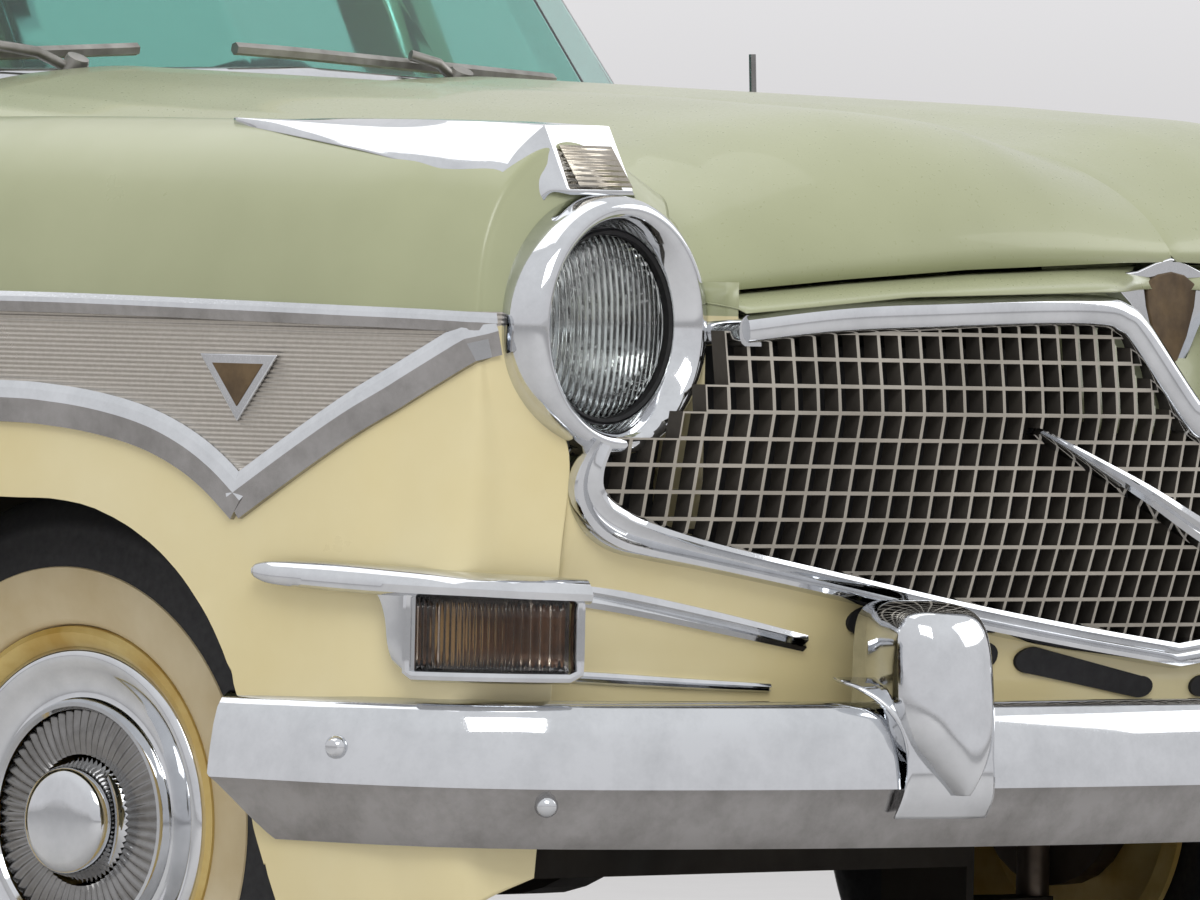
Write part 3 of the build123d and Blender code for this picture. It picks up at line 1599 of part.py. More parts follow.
# Wheels and tyres: rows of radius and distance outward from the centre plane
WHEEL_DISH_R = 60
TYRE_OUTSIDE = (
    (255, -TYRE_W / 2),
    (305, -92),
    (TYRE_R, -66),
    (TYRE_R, 66),
    (305, 92),
    (255, TYRE_W / 2),
)
TYRE_INSIDE = (           # open to the wheel, with the beads on its flanges
    (256, -TYRE_W / 2 - 0.2),
    (BEAD_R + RUN_GAP, -75),
    (BEAD_R + RUN_GAP, 61),
    (198, 74),
    (201, 90),
    (256, TYRE_W / 2 + 0.2),
)
WHEEL_OUTSIDE = (
    (195, -92),
    (195, -84),
    (BEAD_R, -76),
    (BEAD_R, 64),
    (195, 76),
    (190, 84),
)
WHEEL_BACK = ((168, -92.1), (150, -8))
WHEEL_FACE = ((152, 72), (168, 84.1))
COVER_RING = ((126, 71.9), (116, 82))
COVER_DISH = ((62, 77), (106, 82.1))
COVER_CAP = ((60, 76.9), (52, 99), (16, 106))
for end, axle_y in (("front", FRONT_AXLE_Y), ("rear", REAR_AXLE_Y)):
    hub = (WHEEL_X, axle_y, TYRE_R)
    with BuildPart() as wheel:
        stack(WHEEL_OUTSIDE, hub, OUTWARD)
        stack(WHEEL_BACK, hub, OUTWARD, Mode.SUBTRACT)
        stack(WHEEL_FACE, hub, OUTWARD, Mode.SUBTRACT)
        stack(COVER_RING, hub, OUTWARD)
        stack(COVER_DISH, hub, OUTWARD, Mode.SUBTRACT)
        stack(COVER_CAP, hub, OUTWARD)
        bar((WHEEL_X - 45, axle_y, TYRE_R), (WHEEL_X - 7, axle_y, TYRE_R), WHEEL_DISH_R)
        pipe(
            (WHEEL_X - 46, axle_y, TYRE_R),
            (WHEEL_X + SPINDLE_END + 5, axle_y, TYRE_R),
            HUB_BORE_R,
            mode=Mode.SUBTRACT,
        )
    with BuildPart() as tyre:
        stack(TYRE_OUTSIDE, hub, OUTWARD)
        stack(TYRE_INSIDE, hub, OUTWARD, Mode.SUBTRACT)
    save_pair(wheel, f"{end}_wheel")
    save_pair(tyre, f"{end}_tyre")
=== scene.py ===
import json
from math import cos, pi, radians, sin, sqrt

import bmesh
import bpy
from mathutils import Matrix, Vector
from mathutils.bvhtree import BVHTree


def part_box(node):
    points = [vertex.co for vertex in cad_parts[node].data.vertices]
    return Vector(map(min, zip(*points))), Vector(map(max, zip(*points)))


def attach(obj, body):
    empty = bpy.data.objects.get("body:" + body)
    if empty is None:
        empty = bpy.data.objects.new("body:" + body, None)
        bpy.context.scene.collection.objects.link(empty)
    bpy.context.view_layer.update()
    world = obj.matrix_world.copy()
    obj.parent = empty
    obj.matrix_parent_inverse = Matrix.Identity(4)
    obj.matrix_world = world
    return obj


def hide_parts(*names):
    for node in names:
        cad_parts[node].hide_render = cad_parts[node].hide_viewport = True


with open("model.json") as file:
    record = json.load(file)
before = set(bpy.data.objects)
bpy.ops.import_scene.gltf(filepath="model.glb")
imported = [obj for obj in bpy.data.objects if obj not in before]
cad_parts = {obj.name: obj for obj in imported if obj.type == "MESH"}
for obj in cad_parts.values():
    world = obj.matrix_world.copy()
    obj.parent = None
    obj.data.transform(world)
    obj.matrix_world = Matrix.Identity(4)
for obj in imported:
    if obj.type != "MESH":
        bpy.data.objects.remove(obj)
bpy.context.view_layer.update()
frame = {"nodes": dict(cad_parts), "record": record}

# All sizes below are millimetres in the car's frame: +X to its left, -Y to its front.
MM = 0.001
BODY = "car_body"
LEFT, FORWARD, UP = Vector((1, 0, 0)), Vector((0, -1, 0)), Vector((0, 0, 1))
BACKWARD = -FORWARD
FRONT_AXLE, REAR_AXLE = -1740, 1360
HUB_X, HUB_Z = 755, 330
DRUM_Y, DRUM_R = 222, 2752           # the front's curve: axis and radius
LAMP = Vector((770, -2392, 837))     # middle of the left headlamp's rim
PANEL_WALL = 1.4                     # gauge of the pressed panels
BELT_Z, FOOT_Z = 848, 754            # the side mouldings behind the front wheel


# Shapes

def part_way(a, b, t):
    return a + (b - a) * t


def smooth(rows, t):
    """Point on a smooth curve through rows of numbers, t from 0 to 1."""
    span = t * (len(rows) - 1)
    i = min(int(span), len(rows) - 2)
    f = span - i
    a, b = rows[max(i - 1, 0)], rows[i]
    c, d = rows[i + 1], rows[min(i + 2, len(rows) - 1)]
    return tuple(
        0.5 * (2 * q + (r - p) * f + (2 * p - 5 * q + 4 * r - s) * f * f
               + (3 * q - p - 3 * r + s) * f ** 3)
        for p, q, r, s in zip(a, b, c, d)
    )


def along(rows, steps):
    """Points on the smooth curve through rows, so many to each span."""
    count = steps * (len(rows) - 1)
    return [smooth(rows, i / count) for i in range(count + 1)]


def between(rows, x):
    """Value at x on straight lines through rows of (x, value)."""
    if x <= rows[0][0]:
        return rows[0][1]
    for (x0, y0), (x1, y1) in zip(rows, rows[1:]):
        if x <= x1:
            return y0 + (y1 - y0) * (x - x0) / (x1 - x0)
    return rows[-1][1]


def skin(surface, columns, rows):
    """Grid bent into a surface: surface(u, v) gives mm for u and v from 0 to 1."""
    bm = bmesh.new()
    bmesh.ops.create_grid(bm, x_segments=columns, y_segments=rows, size=0.5)
    for vert in bm.verts:
        vert.co = Vector(surface(vert.co.x + 0.5, vert.co.y + 0.5)) * MM
    return bm


def headings(points, closed=False):
    """Direction of a line at each of its points."""
    last = len(points) - 1
    if closed:
        pairs = [(points[i - 1], points[(i + 1) % (last + 1)]) for i in range(last + 1)]
    else:
        pairs = [(points[max(i - 1, 0)], points[min(i + 1, last)])
                 for i in range(last + 1)]
    return [(b - a).normalized() for a, b in pairs]


def rail(points, outs, closed=False):
    """Stations for sweep: each point, its outward way and the way across the strip."""
    return [(point, out, out.cross(run).normalized())
            for point, out, run in zip(points, outs, headings(points, closed))]


def upright(stations):
    """Stations with their across ways turned to point up."""
    return [(point, out, up if up.z > 0 else -up) for point, out, up in stations]


def sweep(stations, section, closed=False):
    """Carry a closed section of (out, up) rows along (point, out, up) stations."""
    around, runs = len(section), len(stations) - (0 if closed else 1)
    bm = bmesh.new()
    bmesh.ops.create_grid(bm, x_segments=runs, y_segments=around, size=0.5)
    for vert in bm.verts:
        i = round((vert.co.x + 0.5) * runs) % len(stations)
        j = round((vert.co.y + 0.5) * around) % around
        point, out, up = stations[i]
        vert.co = (point + out * section[j][0] + up * section[j][1]) * MM
    bmesh.ops.remove_doubles(bm, verts=bm.verts, dist=1e-6)
    if not closed:
        ends = [edge for edge in bm.edges if edge.is_boundary]
        bmesh.ops.holes_fill(bm, edges=ends, sides=0)
    return bm


def rod(points, radius, sides=10):
    """Round bar through points."""
    stations = []
    for point, run in zip(points, headings(points)):
        side = run.cross(Vector((0, 0.3, 1))).normalized()
        stations.append((point, side, side.cross(run)))
    ring = [(radius * cos(2 * pi * i / sides), radius * sin(2 * pi * i / sides))
            for i in range(sides)]
    return sweep(stations, ring)


def lathe(rows, centre, axis, steps=96):
    """Turn rows of (radius, distance along the axis)."""
    centre, axis = Vector(centre), Vector(axis)
    side = UP if abs(axis.z) < 0.5 else LEFT
    bm = bmesh.new()
    verts = [bm.verts.new((centre + axis * a + side * r) * MM) for r, a in rows]
    edges = [bm.edges.new(pair) for pair in zip(verts, verts[1:])]
    bmesh.ops.spin(bm, geom=verts + edges, cent=centre * MM, axis=axis,
                   angle=2 * pi, steps=steps, use_merge=True)
    bmesh.ops.remove_doubles(bm, verts=bm.verts, dist=1e-5)
    return bm


def raised(made):
    """The points among what an extrusion made."""
    return [item for item in made["geom"] if isinstance(item, bmesh.types.BMVert)]


def prism(outline, place, low, high):
    """Thick plate: outline rows (a, b), place(a, b, c) in mm, c from low to high."""
    bm = bmesh.new()
    face = bm.faces.new([bm.verts.new(Vector(place(a, b, low)) * MM)
                         for a, b in outline])
    top = raised(bmesh.ops.extrude_face_region(bm, geom=[face]))
    rise = (Vector(place(0, 0, high)) - Vector(place(0, 0, low))) * MM
    bmesh.ops.translate(bm, verts=top, vec=rise)
    return bm


def join(*meshes):
    """Several bmeshes as one."""
    whole = bmesh.new()
    for bm in meshes:
        part = bpy.data.meshes.new("part")
        bm.to_mesh(part)
        bm.free()
        whole.from_mesh(part)
        bpy.data.meshes.remove(part)
    return whole


def mirrored(rows):
    """A left half of rows (x, other), from the end to the middle and on to the right."""
    return rows[::-1] + [(-x, other) for x, other in rows[1:]]


def both_sides(bm):
    """Add the mirror image on the car's other side."""
    geom = bm.verts[:] + bm.edges[:] + bm.faces[:]
    bmesh.ops.mirror(bm, geom=geom, axis="X", merge_dist=0)
    return bm


def other_side(bm):
    """Move a shape to the car's right."""
    bmesh.ops.scale(bm, verts=bm.verts, vec=(-1, 1, 1))
    bmesh.ops.reverse_faces(bm, faces=bm.faces)
    return bm


def piece(name, bm, material, body=BODY, replaces=(), wall=0, edge=0, rounds=0,
          outward=None, crease=35):
    """Make a bmesh an object that rides on a body.

    wall and edge are a thickness and a bevel in mm, crease is the angle that stays
    sharp, and outward the way an open skin faces, or (0, 0, 0) to leave it as it is.
    """
    bmesh.ops.remove_doubles(bm, verts=bm.verts, dist=1e-6)
    if outward is None:
        bmesh.ops.recalc_face_normals(bm, faces=bm.faces)
    else:
        lean = sum((face.normal * face.calc_area() for face in bm.faces), Vector())
        if lean.dot(Vector(outward)) < 0:
            bmesh.ops.reverse_faces(bm, faces=bm.faces)
    mesh = bpy.data.meshes.new(name)
    bm.to_mesh(mesh)
    bm.free()
    mesh.materials.append(material)
    mesh.shade_smooth()
    mesh.set_sharp_from_angle(angle=radians(crease))
    thing = bpy.data.objects.new(name, mesh)
    bpy.context.scene.collection.objects.link(thing)
    if wall:
        solid = thing.modifiers.new("wall", "SOLIDIFY")
        solid.thickness = wall * MM
        solid.offset = -1
    if edge:
        bevel = thing.modifiers.new("edge", "BEVEL")
        bevel.width = edge * MM
        bevel.segments = 2
        bevel.limit_method = "ANGLE"
    if rounds:
        subdivision = thing.modifiers.new("rounds", "SUBSURF")
        subdivision.levels = subdivision.render_levels = rounds
    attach(thing, body)
    if replaces:
        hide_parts(*replaces)
    return thing


def paint_reflection_below(thing, slope=-0.1):
    """Give the faces that look down a darker chrome, a painted reflection of dark ground."""
    thing.data.materials.append(DARK_REFLECTION_CHROME)
    for face in thing.data.polygons:
        if face.normal.z < slope:
            face.material_index = 1


# Materials

def srgb(code):
    """Linear colour from a hex code."""
    values = [int(code[i:i + 2], 16) / 255 for i in (0, 2, 4)]
    return [v / 12.92 if v <= 0.04045 else ((v + 0.055) / 1.055) ** 2.4
            for v in values] + [1.0]


def node(tree, made, inputs=None, **settings):
    """Add a node, or take one, set its fields, and fill its inputs or link them."""
    if isinstance(made, str):
        made = tree.nodes.new("ShaderNode" + made)
    for key, value in settings.items():
        setattr(made, key, value)
    for key, value in (inputs or {}).items():
        if isinstance(value, bpy.types.Node):
            value = value.outputs[2 if value.bl_idname == "ShaderNodeMix" else 0]
        if isinstance(value, bpy.types.NodeSocket):
            tree.links.new(value, made.inputs[key])
        else:
            made.inputs[key].default_value = value
    return made


def new_material(name):
    """A material with its tree, its shader and the place on the piece."""
    material = bpy.data.materials.new(name)
    material.use_nodes = True
    tree = material.node_tree
    place = node(tree, "TexCoord").outputs["Object"]
    return material, tree, tree.nodes["Principled BSDF"], place


def worn(name, light, dark, metallic=0.0, rough=(0.3, 0.5), grain=16.67, depth=0.2,
         patch=250, coat=0.0):
    """A finish with slow patches of colour, uneven gloss and a fine grain.

    grain and patch are the widths of their spots, and depth the grain's height, in mm.
    """
    material, tree, shader, place = new_material(name)
    slow = node(tree, "TexNoise", {"Vector": place, "Scale": 1 / (patch * MM),
                                   "Detail": 5, "Roughness": 0.55})
    fine = node(tree, "TexNoise", {"Vector": place, "Scale": 1 / (grain * MM),
                                   "Detail": 6, "Roughness": 0.55})
    share = node(tree, "MapRange", {"Value": slow, "From Min": 0.35, "From Max": 0.65})
    colour = node(tree, "Mix", {0: share, 6: srgb(light), 7: srgb(dark)},
                  data_type="RGBA")
    gloss = node(tree, "MapRange", {"Value": fine, "From Min": 0.3, "From Max": 0.7,
                                    "To Min": rough[0], "To Max": rough[1]})
    grit = node(tree, "Bump", {"Height": fine, "Distance": depth * MM, "Strength": 0.4})
    node(tree, shader, {"Base Color": colour, "Roughness": gloss, "Metallic": metallic,
                        "Coat Weight": coat, "Normal": grit})
    return material


def chrome_plate(name, light="D6D8DB", dark="C6C8CB", rough=(0.03, 0.09)):
    """Aged chrome with clouds of haze 70 mm wide and pits of 1.7 mm."""
    material, tree, shader, place = new_material(name)
    haze = node(tree, "TexNoise", {"Vector": place, "Scale": 1 / (71.4 * MM),
                                   "Detail": 8, "Roughness": 0.7})
    pits = node(tree, "TexNoise", {"Vector": place, "Scale": 1 / (1.667 * MM),
                                   "Detail": 2, "Roughness": 0.55})
    share = node(tree, "MapRange", {"Value": haze, "From Min": 0.4, "From Max": 0.7})
    colour = node(tree, "Mix", {0: share, 6: srgb(light), 7: srgb(dark)},
                  data_type="RGBA")
    gloss = node(tree, "MapRange", {"Value": haze, "From Min": 0.35, "From Max": 0.75,
                                    "To Min": rough[0], "To Max": rough[1]})
    pitted = node(tree, "MapRange", {"Value": pits, "From Min": 0.62, "From Max": 0.75})
    dents = node(tree, "Bump", {"Height": pitted, "Distance": 0.03 * MM,
                                "Strength": 0.25})
    node(tree, shader, {"Base Color": colour, "Roughness": gloss, "Metallic": 1.0,
                        "Normal": dents})
    return material


def glass(name, colour, rough=0.02):
    """Clear or tinted glass with a faint film of dust in spots of 33 mm."""
    material, tree, shader, place = new_material(name)
    film = node(tree, "TexNoise", {"Vector": place, "Scale": 1 / (33.3 * MM),
                                   "Detail": 5, "Roughness": 0.55})
    haze = node(tree, "MapRange", {"Value": film, "From Min": 0.3, "From Max": 0.7,
                                   "To Min": rough, "To Max": rough + 0.03})
    node(tree, shader, {"Base Color": srgb(colour), "Transmission Weight": 1.0,
                        "IOR": 1.45, "Roughness": haze})
    return material


def add_ribs(material, axis, pitch, height, strength):
    """Raise ribs of a pitch in mm, one after another along an axis."""
    tree = material.node_tree
    place = node(tree, "SeparateXYZ", {0: node(tree, "TexCoord").outputs["Object"]})
    turn = node(tree, "Math", {0: place.outputs[axis], 1: 2 * pi / (pitch * MM)},
                operation="MULTIPLY")
    wave = node(tree, "Math", {0: turn}, operation="SINE")
    ribs = node(tree, "Bump", {"Height": wave, "Distance": height * MM,
                               "Strength": strength})
    node(tree, tree.nodes["Principled BSDF"], {"Normal": ribs})
    return material


INSERT_TOP_Z = 0.849
INSERT_FOOT = (            # Y, Z of the insert's lower edge, in metres
    (-2.36, 0.836), (-2.075, 0.672), (-1.99, 0.715), (-1.90, 0.742),
    (-1.79, 0.752), (2.5, 0.752),
)
INSERT_REACH = 2.6         # the foot's curve runs this far ahead and behind, in metres
INSERT_RIBS = 4.6          # finer on the real one, drawn as coarse as it needs to show


def body_paint():
    """Sage green over cream enamel, with the ribbed insert between the mouldings."""
    material, tree, shader, place = new_material("two_tone_body_paint")
    axes = node(tree, "SeparateXYZ", {0: place})
    height = axes.outputs["Z"]
    share = node(tree, "MapRange", {"Value": axes.outputs["Y"],
                                    "From Min": -INSERT_REACH, "From Max": INSERT_REACH})
    foot = node(tree, "FloatCurve", {"Value": share})
    points = foot.mapping.curves[0].points
    rows = [((y + INSERT_REACH) / (2 * INSERT_REACH), z) for y, z in INSERT_FOOT]
    points[0].location, points[1].location = rows[0], rows[-1]
    for row in rows[1:-1]:
        points.new(*row)
    for point in points:
        point.handle_type = "VECTOR"
    foot.mapping.update()
    above_foot = node(tree, "Math", {0: height, 1: foot}, operation="GREATER_THAN")
    above_top = node(tree, "Math", {0: height, 1: INSERT_TOP_Z},
                     operation="GREATER_THAN")
    insert = node(tree, "Math", {0: above_foot, 1: above_top},
                  operation="SUBTRACT", use_clamp=True)

    slow = node(tree, "TexNoise", {"Vector": place, "Scale": 1 / (286 * MM),
                                   "Detail": 6, "Roughness": 0.55})
    cloudy = node(tree, "MapRange", {"Value": slow, "From Min": 0.35, "From Max": 0.65})
    fine = node(tree, "TexNoise", {"Vector": place, "Scale": 1 / (4.55 * MM),
                                   "Detail": 4, "Roughness": 0.55})
    green, cream, silver = (
        node(tree, "Mix", {0: spots, 6: srgb(light), 7: srgb(dark)}, data_type="RGBA")
        for spots, light, dark in ((cloudy, "A8AC88", "9FA37F"),
                                   (cloudy, "E6DAAE", "DFD09D"),
                                   (fine, "BDB7AF", "A39D94")))
    below = node(tree, "Mix", {0: insert, 6: cream, 7: silver}, data_type="RGBA")
    colour = node(tree, "Mix", {0: above_top, 6: below, 7: green}, data_type="RGBA")
    metal = node(tree, "MapRange", {"Value": insert, "To Max": 0.85})
    rubbed = node(tree, "TexNoise", {"Vector": place, "Scale": 1 / (111 * MM),
                                     "Detail": 6, "Roughness": 0.55})
    gloss = node(tree, "MapRange", {"Value": rubbed, "From Min": 0.3, "From Max": 0.7,
                                    "To Min": 0.26, "To Max": 0.4})

    turn = node(tree, "Math", {0: height, 1: 2 * pi / (INSERT_RIBS * MM)},
                operation="MULTIPLY")
    wave = node(tree, "Math", {0: turn}, operation="SINE")
    ribs = node(tree, "Math", {0: wave, 1: insert}, operation="MULTIPLY")
    grain = node(tree, "Bump", {"Height": fine, "Distance": 0.02 * MM, "Strength": 0.3})
    raised = node(tree, "Bump", {"Height": ribs, "Distance": 0.8 * MM, "Strength": 0.7,
                                 "Normal": grain})
    node(tree, shader, {"Base Color": colour, "Metallic": metal, "Roughness": gloss,
                        "Coat Weight": 0.25, "Coat Roughness": 0.18, "Normal": raised})
    return material


def cloth(name, light, dark):
    """Woven cloth with checks of 2.4 mm, coarser than its thread so that they show."""
    material, tree, shader, place = new_material(name)
    weave = node(tree, "TexVoronoi", {"Vector": place, "Scale": 1 / (2.38 * MM)})
    checks = node(tree, "MapRange", {"Value": weave, "From Min": 0.1, "From Max": 0.6})
    colour = node(tree, "Mix", {0: checks, 6: srgb(light), 7: srgb(dark)},
                  data_type="RGBA")
    slow = node(tree, "TexNoise", {"Vector": place, "Scale": 1 / (167 * MM),
                                   "Detail": 4, "Roughness": 0.55})
    rubbed = node(tree, "MapRange", {"Value": slow, "From Min": 0.3, "From Max": 0.7,
                                     "To Max": 0.35})
    faded = node(tree, "Mix", {0: rubbed, 6: colour, 7: srgb(dark)}, data_type="RGBA")
    threads = node(tree, "Bump", {"Height": weave, "Distance": 0.6 * MM,
                                  "Strength": 0.6})
    node(tree, shader, {"Base Color": faded, "Roughness": 0.9, "Sheen Weight": 0.3,
                        "Normal": threads})
    return material


# Sprayed enamel, gone dull in the sun: a soft, uneven gloss with cloudy tones.
PAINT = body_paint()
GREEN_PAINT = worn("sage_green_paint", "A8AC88", "9FA37F", 0, (0.26, 0.4), 4.55, 0.02,
                   286, 0.25)
CREAM_PAINT = worn("cream_paint", "E6DAAE", "DFD09D", 0, (0.28, 0.42), 4.55, 0.02,
                   286, 0.25)
# The same enamel sprayed thin on the dash, darker and plain.
DASH = worn("green_dash_paint", "7C8260", "6C7252", 0, (0.35, 0.5), 8.33, 0.05)
# Plated and buffed chrome with age haze: sharp reflections that cloud in places.
CHROME = chrome_plate("aged_chrome")
# Chrome dulled by weather: grey, with reflections that blur.
DARK_CHROME = chrome_plate("dull_chrome", "8E8D8C", "6D6B69", (0.15, 0.3))
# Chrome on faces that look down, darker and greyer: a painted reflection of dark ground, a
# darker band under each bar.
DARK_REFLECTION_CHROME = chrome_plate("painted_reflection_chrome", "ABA9A8", "8F8D8B", (0.1, 0.24))
# Pressed plate with fine ribs, drawn 5.2 mm apart to show: a striped warm sheen.
RIBBED_CHROME = add_ribs(chrome_plate("ribbed_chrome_inset", "D8D0C2", "B9AE9C",
                                      (0.12, 0.3)), "Z", 5.2, 1.2, 0.9)
# Die-cast metal with worn plating: a satin warm grey without sharp reflections.
GRILLE_METAL = worn("satin_grey_grille", "BDB7AC", "989287", 0.75, (0.3, 0.42), 11.1,
                    0.05)
# The cells' inner walls in painted shade: dark and flat, so that the bars stand out.
GRILLE_CELL_SHADE = worn("shaded_grille_cells", "4A453E", "2E2A26", 0.2, (0.6, 0.8), 11.1, 0.1)
# Tinted laminated glass: clear, with a teal cast over what is seen through it.
TINTED = glass("teal_tinted_glass", "ABDCD3")
# Pressed clear glass: bright, with the reflector seen through it.
LAMP_GLASS = glass("lamp_glass", "F4F6F4")
# Pressed glass with flutes 8.5 mm apart: upright bright and dark lines.
FLUTED = add_ribs(glass("fluted_lamp_glass", "F2F5F2", 0.03), "X", 8.5, 1.1, 0.8)
# Smoked pressed glass with flutes 5 mm apart: brown, with fine upright lines.
PARK_GLASS = add_ribs(glass("smoked_parking_glass", "D8C6B4", 0.03), "Y", 5, 1.2, 0.8)
# Moulded red glass: deep red, and dark where it is thick.
RED_GLASS = glass("red_lamp_glass", "B01818", 0.05)
# Pressed tin under amber lacquer and dust: a dull brown glow behind the lens.
AMBER = worn("dusty_amber_reflector", "7A5F49", "4A372B", 0.4, (0.25, 0.45), 25, 0.3,
             33.3)
# Moulded rubber with road dust: near black, matt, in soft grey patches.
RUBBER = worn("black_rubber", "17171A", "222224", 0, (0.55, 0.75), 8.33, 0.3)
# Moulded white rubber browned by age: a tan wall, blotched, with little gloss.
WHITEWALL = worn("tan_aged_whitewall", "DACBA8", "CBB88F", 0, (0.5, 0.65), 14.3, 0.2,
                 111)
# Enamel on pressed steel with rust bleeding through: gold stains on cream.
RIM_PAINT = worn("gold_cream_rim_paint", "D9C27E", "BE9A4A", 0.1, (0.3, 0.5), 25, 0.1,
                 83.3)
# Stoved black paint: matt black with hardly a highlight; the same black stands as painted
# shade behind the grille and in the valance's openings.
BLACK = worn("matt_black_paint", "0B0B0C", "17161A", 0, (0.6, 0.8), 12.5, 0.3)
# Brushed-on underseal under dust: rough brown-black that takes no reflection.
UNDERBODY = worn("dusty_underbody_paint", "26231F", "3A332B", 0.1, (0.7, 0.9), 40, 1,
                 200)
# Sand-cast iron: grainy and brown-grey.
IRON = worn("cast_iron_engine", "4A4438", "33302A", 0.4, (0.5, 0.7), 16.67, 0.6)
# Enamel over pressed covers: green, with some gloss in the engine bay.
ENGINE_ENAMEL = worn("engine_enamel", "6F7A52", "565F41", 0, (0.3, 0.5), 16.67, 0.4, 111)
# Mild steel left bare: brown stains on dull metal.
STEEL = worn("weathered_steel", "6E6862", "574C42", 0.8, (0.35, 0.6), 20, 0.3, 143)
# Moulded hard plastic, polished by hands: glossy black.
HORN = worn("black_moulded_wheel", "0C0C0D", "121214", 0, (0.18, 0.3), 6.67, 0.03)
# Stamped stainless steel, weathered: a pale grey with a broad highlight.
WIPER_METAL = worn("dull_grey_wiper_metal", "ABA9A4", "83807A", 0.8, (0.3, 0.5), 14.3,
                   0.2, 50)
# Stamped sheet with its paint gone brown: flat, stained and bare.
BROWN = worn("bare_brown_shield", "6E5A3E", "4B3B28", 0.2, (0.5, 0.7), 16.67, 1, 40)
# Painted aluminium sheet: a blank off-white plate, faintly soiled.
PLATE = worn("blank_painted_plate", "D8D2BE", "C6BD9F", 0, (0.45, 0.6), 16.67, 0.2, 111)
# Woven cotton and rayon: soft, with a small check and a faint sheen.
SEAT_CLOTH = cloth("sage_seat_cloth", "8B9070", "5E6249")
# Matt painted studio floor: pale and even.
PALE = worn("pale_floor", "D6D4D3", "D4D2D1", 0, (0.7, 0.8), 50, 0, 125)

FINISHES = (
    (PAINT, "front_fenders rear_quarters front_door_left front_door_right"
            " rear_door_left rear_door_right"),
    (GREEN_PAINT, "nose_panel cowl deck_panel boot_lid hood"),
    (CREAM_PAINT, "valance roof tail_panel"),
    (TINTED, "windscreen rear_window front_door_glass_left front_door_glass_right"
             " rear_door_glass_left rear_door_glass_right"),
    (LAMP_GLASS, "lamp_lenses"),
    (RED_GLASS, "tail_lamps"),
    (UNDERBODY, "floor_pan chassis_frame front_suspension rear_axle fuel_tank"),
    (STEEL, "knuckle_left knuckle_right exhaust"),
    (IRON, "engine"),
    (BLACK, "radiator"),
    (DASH, "dashboard"),
    (HORN, "steering_wheel"),
    (SEAT_CLOTH, "front_seat rear_seat"),
    (GRILLE_METAL, "grille"),
)
FINISH_OF = {name: finish for finish, names in FINISHES for name in names.split()}
for name, thing in frame["nodes"].items():
    for slot in thing.material_slots:
        slot.material = FINISH_OF.get(name, RUBBER if "tyre" in name else CHROME)

# Front wing: rows run from the scuttle forward, each from the sill up to the bonnet
WING_ROWS = (
    ((940, -1006, 240), (958, -1006, 340), (968, -1006, 450), (970, -1006, 600),
     (970, -1006, 740), (969, -1006, 850), (962, -1006, 905), (944, -1006, 952),
     (914, -1006, 990), (868, -1006, 1014), (790, -1006, 1022), (643, -1006, 1033)),
    ((938, -1380, 240), (957, -1380, 340), (966, -1380, 450), (968, -1380, 600),
     (968, -1380, 740), (967, -1380, 850), (960, -1380, 905), (940, -1380, 957),
     (908, -1380, 998), (858, -1380, 1023), (785, -1380, 1025), (643, -1380, 1016)),
    ((936, -1740, 240), (955, -1740, 340), (964, -1740, 450), (966, -1740, 600),
     (966, -1740, 740), (965, -1740, 850), (957, -1740, 905), (937, -1740, 960),
     (903, -1740, 1003), (848, -1740, 1031), (780, -1740, 1026), (643, -1740, 1000)),
    ((926, -2150, 240), (944, -2150, 340), (953, -2150, 450), (956, -2150, 600),
     (956, -2150, 740), (954, -2150, 850), (946, -2150, 905), (926, -2150, 958),
     (890, -2150, 1001), (832, -2150, 1029), (765, -2150, 1020), (643, -2150, 985)),
    ((906, -2262, 256), (925, -2264, 340), (934, -2266, 450), (936, -2268, 600),
     (936, -2270, 740), (933, -2274, 850), (926, -2274, 905), (907, -2274, 955),
     (872, -2274, 997), (817, -2274, 1024), (750, -2274, 1014), (643, -2274, 976)),
    ((886, -2318, 270), (905, -2321, 345), (914, -2323, 450), (915, -2327, 600),
     (915, -2336, 700), (920, -2341, 790), (920, -2338, 862), (905, -2335, 928),
     (870, -2335, 982), (808, -2335, 1016), (740, -2335, 1006), (645, -2335, 966)),
    ((858, -2336, 285), (868, -2338, 352), (872, -2342, 450), (872, -2346, 600),
     (878, -2354, 704), (905, -2352, 788), (911, -2350, 862), (898, -2348, 922),
     (862, -2348, 972), (800, -2348, 1004), (728, -2348, 994), (648, -2352, 940)),
    ((827, -2354, 300), (827, -2360, 360), (827, -2370, 450), (827, -2379, 600),
     (829, -2388, 722), (880, -2364, 780), (892, -2361, 847), (876, -2360, 900),
     (840, -2360, 939), (781, -2360, 960), (717, -2360, 949), (662, -2362, 899)),
)
ARCH_TOP, ARCH_SIDE, ARCH_FOOT = 655, 380, 345     # heights of the wheel opening
ARCH_R, ARCH_FLAT, ARCH_HALF = 275, 77, 352        # its corners and its half width
ARCH_LIP, NUDGE = 22, 0.5
SILL_Z = 232               # below this the skin's edge isn't rolled


def wing(u, v):
    """Left front wing: u forward, v from the sill up."""
    return smooth([smooth(row, v) for row in WING_ROWS], u)


def arch_half(z, forward):
    """Half width of a front wheel opening at a height."""
    if z >= ARCH_TOP:
        return 0
    if z >= ARCH_SIDE:
        return ARCH_FLAT + sqrt(max(ARCH_R ** 2 - (z - ARCH_SIDE) ** 2, 0))
    flare = 70 if forward else 12
    return ARCH_HALF + max(0, flare * (ARCH_FOOT - z) / 245)


